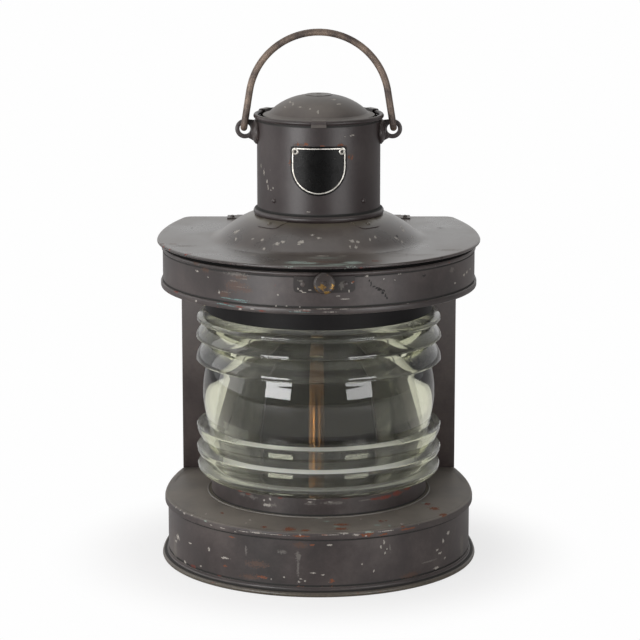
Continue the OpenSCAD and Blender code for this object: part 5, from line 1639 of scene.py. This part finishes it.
class LANTERN_OT_stage(bpy.types.Operator):
    """Floor, camera and light"""

    bl_idname = "lantern.stage"
    bl_label = "Stage"

    def execute(self, context):
        stage = context.scene.lantern_stage
        scene = context.scene
        clear_selection()
        bpy.ops.mesh.primitive_plane_add(size=2 * MM, location=(0, 0, 0))
        floor = context.active_object
        floor.name = "studio_floor"
        bpy.ops.object.mode_set(mode="EDIT")
        bpy.ops.mesh.select_all(action="SELECT")
        bpy.ops.transform.resize(value=(6000, 6000, 1))
        bpy.ops.object.mode_set(mode="OBJECT")
        material, tree, shader = new_material("matte paper")
        shader.inputs["Base Color"].default_value = linear("f4f2f1")
        shader.inputs["Roughness"].default_value = 0.9
        glow = add(tree, "ShaderNodeEmission", Color=linear("fefefe"), Strength=1.0)
        path = add(tree, "ShaderNodeLightPath")
        where = add(tree, "ShaderNodeTexCoord").outputs["Object"]
        away = add(tree, "ShaderNodeVectorMath", {"operation": "LENGTH"}, _0=where)
        far_off = add(tree, "ShaderNodeMapRange", {"clamp": True, "interpolation_type": "SMOOTHSTEP"},
                      Value=away.outputs["Value"], From_Min=0.15, From_Max=0.26, To_Min=0.74, To_Max=1.0)
        seen = add(tree, "ShaderNodeMath", {"operation": "MAXIMUM"}, _0=path.outputs["Is Camera Ray"],
                   _1=path.outputs["Is Transmission Ray"])
        seen = add(tree, "ShaderNodeMath", {"operation": "MULTIPLY"}, _0=seen.outputs[0], _1=far_off.outputs[0])
        mix = add(tree, "ShaderNodeMixShader", _0=seen.outputs[0], _1=shader.outputs[0], _2=glow.outputs[0])
        output = [n for n in tree.nodes if n.bl_idname == "ShaderNodeOutputMaterial"][0]
        tree.links.new(mix.outputs[0], output.inputs[0])
        floor.data.materials.append(material)

        # a white room behind and to the left, darker in front and to the right; the eye sees white
        world = bpy.data.worlds.new("studio")
        scene.world = world
        world.use_nodes = True
        tree = world.node_tree
        tree.nodes.clear()
        path = add(tree, "ShaderNodeLightPath")
        toward = add(tree, "ShaderNodeTexCoord").outputs["Generated"]
        side = add(tree, "ShaderNodeVectorMath", {"operation": "DOT_PRODUCT"}, _0=toward, _1=(-0.5, 0.86, 0.1))
        shine = add(tree, "ShaderNodeMapRange", {"clamp": True}, Value=side.outputs["Value"], From_Min=-0.7,
                    From_Max=0.6, To_Min=0.12, To_Max=1.0)
        soft = add(tree, "ShaderNodeMath", {"operation": "MULTIPLY_ADD"}, _0=shine.outputs[0], _1=0.25, _2=0.18)
        mirrored = add(tree, "ShaderNodeMath", {"operation": "MAXIMUM"}, _0=path.outputs["Is Glossy Ray"],
                       _1=path.outputs["Is Transmission Ray"])
        level = add(tree, "ShaderNodeMix", {"data_type": "FLOAT"}, _0=mirrored.outputs[0],
                    _2=soft.outputs[0], _3=shine.outputs[0])
        level = add(tree, "ShaderNodeMix", {"data_type": "FLOAT"}, _0=path.outputs["Is Camera Ray"],
                    _2=level.outputs[0], _3=1.0)
        light = add(tree, "ShaderNodeBackground", Color=linear("fefefe"), Strength=level.outputs[0])
        output = add(tree, "ShaderNodeOutputWorld")
        tree.links.new(light.outputs[0], output.inputs[0])

        # two soft boxes; half of their light is only seen as a gleam
        for side, power, gleam in ((-1, 14.5, 22.0), (1, 8.0, 14.0)):
            place = (side * 1.262, -1.504, 0.45)
            add_light("key", place, (0.91, 0.38), power)
            add_light("gleam", place, (0.91, 0.38), gleam).visible_diffuse = False
        add_light("top_fill", (-0.3, -0.2, 2.5), (2.2, 1.8), 12.0)
        add_light("left_fill", (-2.2, 0.3, 0.9), (1.6, 1.6), 12.0)

        bpy.ops.object.camera_add(
            location=(CAMERA_X, -stage.camera_distance, stage.camera_height),
            rotation=(math.pi / 2 - stage.camera_pitch, 0, 0))
        camera = context.active_object
        camera.name = "photo_camera"
        camera.data.lens = stage.focal_length
        camera.data.sensor_width = SENSOR
        camera.data.clip_start = 0.05
        camera.data.clip_end = 50.0
        scene.camera = camera
        scene.view_settings.view_transform = "Standard"
        return {"FINISHED"}


def add_light(name, place, size, power):
    """A soft box aimed at the lantern's middle."""
    bpy.ops.object.light_add(type="AREA", location=place)
    light = bpy.context.active_object
    light.name = name
    light.data.shape = "RECTANGLE"
    light.data.size, light.data.size_y = size
    light.data.energy = power
    light.visible_camera = False
    aim = Vector((0, 0, 0.2)) - Vector(place)
    light.rotation_euler = aim.to_track_quat("-Z", "Y").to_euler()
    return light


STEPS = (
    "frame_finish", "base", "lens", "drum", "lid", "chimney", "ears", "badge", "cap", "bail", "latch", "back",
    "stage")


class LANTERN_PT_panel(bpy.types.Panel):
    """Panel that lists the lantern's steps and sizes"""

    bl_idname = "LANTERN_PT_panel"
    bl_label = "Masthead Lantern"
    bl_space_type = "VIEW_3D"
    bl_region_type = "UI"
    bl_category = "Lantern"

    def draw(self, context):
        layout = self.layout
        for group in (context.scene.lantern_shape, context.scene.lantern_finish, context.scene.lantern_stage):
            box = layout.box()
            for name in group.__annotations__:
                box.prop(group, name)
        for step in STEPS:
            layout.operator("lantern." + step)


CLASSES = (
    LanternShape, LanternFinish, LanternStage, LANTERN_OT_frame_finish, LANTERN_OT_base, LANTERN_OT_lens,
    LANTERN_OT_drum, LANTERN_OT_lid, LANTERN_OT_chimney, LANTERN_OT_ears, LANTERN_OT_badge, LANTERN_OT_cap,
    LANTERN_OT_bail, LANTERN_OT_latch, LANTERN_OT_back, LANTERN_OT_stage, LANTERN_PT_panel)


def register():
    """Register the classes and hang the settings on the scene."""
    for cls in CLASSES:
        bpy.utils.register_class(cls)
    bpy.types.Scene.lantern_shape = PointerProperty(type=LanternShape)
    bpy.types.Scene.lantern_finish = PointerProperty(type=LanternFinish)
    bpy.types.Scene.lantern_stage = PointerProperty(type=LanternStage)


def unregister():
    """Undo register."""
    del bpy.types.Scene.lantern_stage
    del bpy.types.Scene.lantern_finish
    del bpy.types.Scene.lantern_shape
    for cls in reversed(CLASSES):
        bpy.utils.unregister_class(cls)


def main():
    """Build the lantern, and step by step."""
    register()
    for step in STEPS:
        getattr(bpy.ops.lantern, step)()
    clear_selection()


if __name__ == "__main__":
    main()
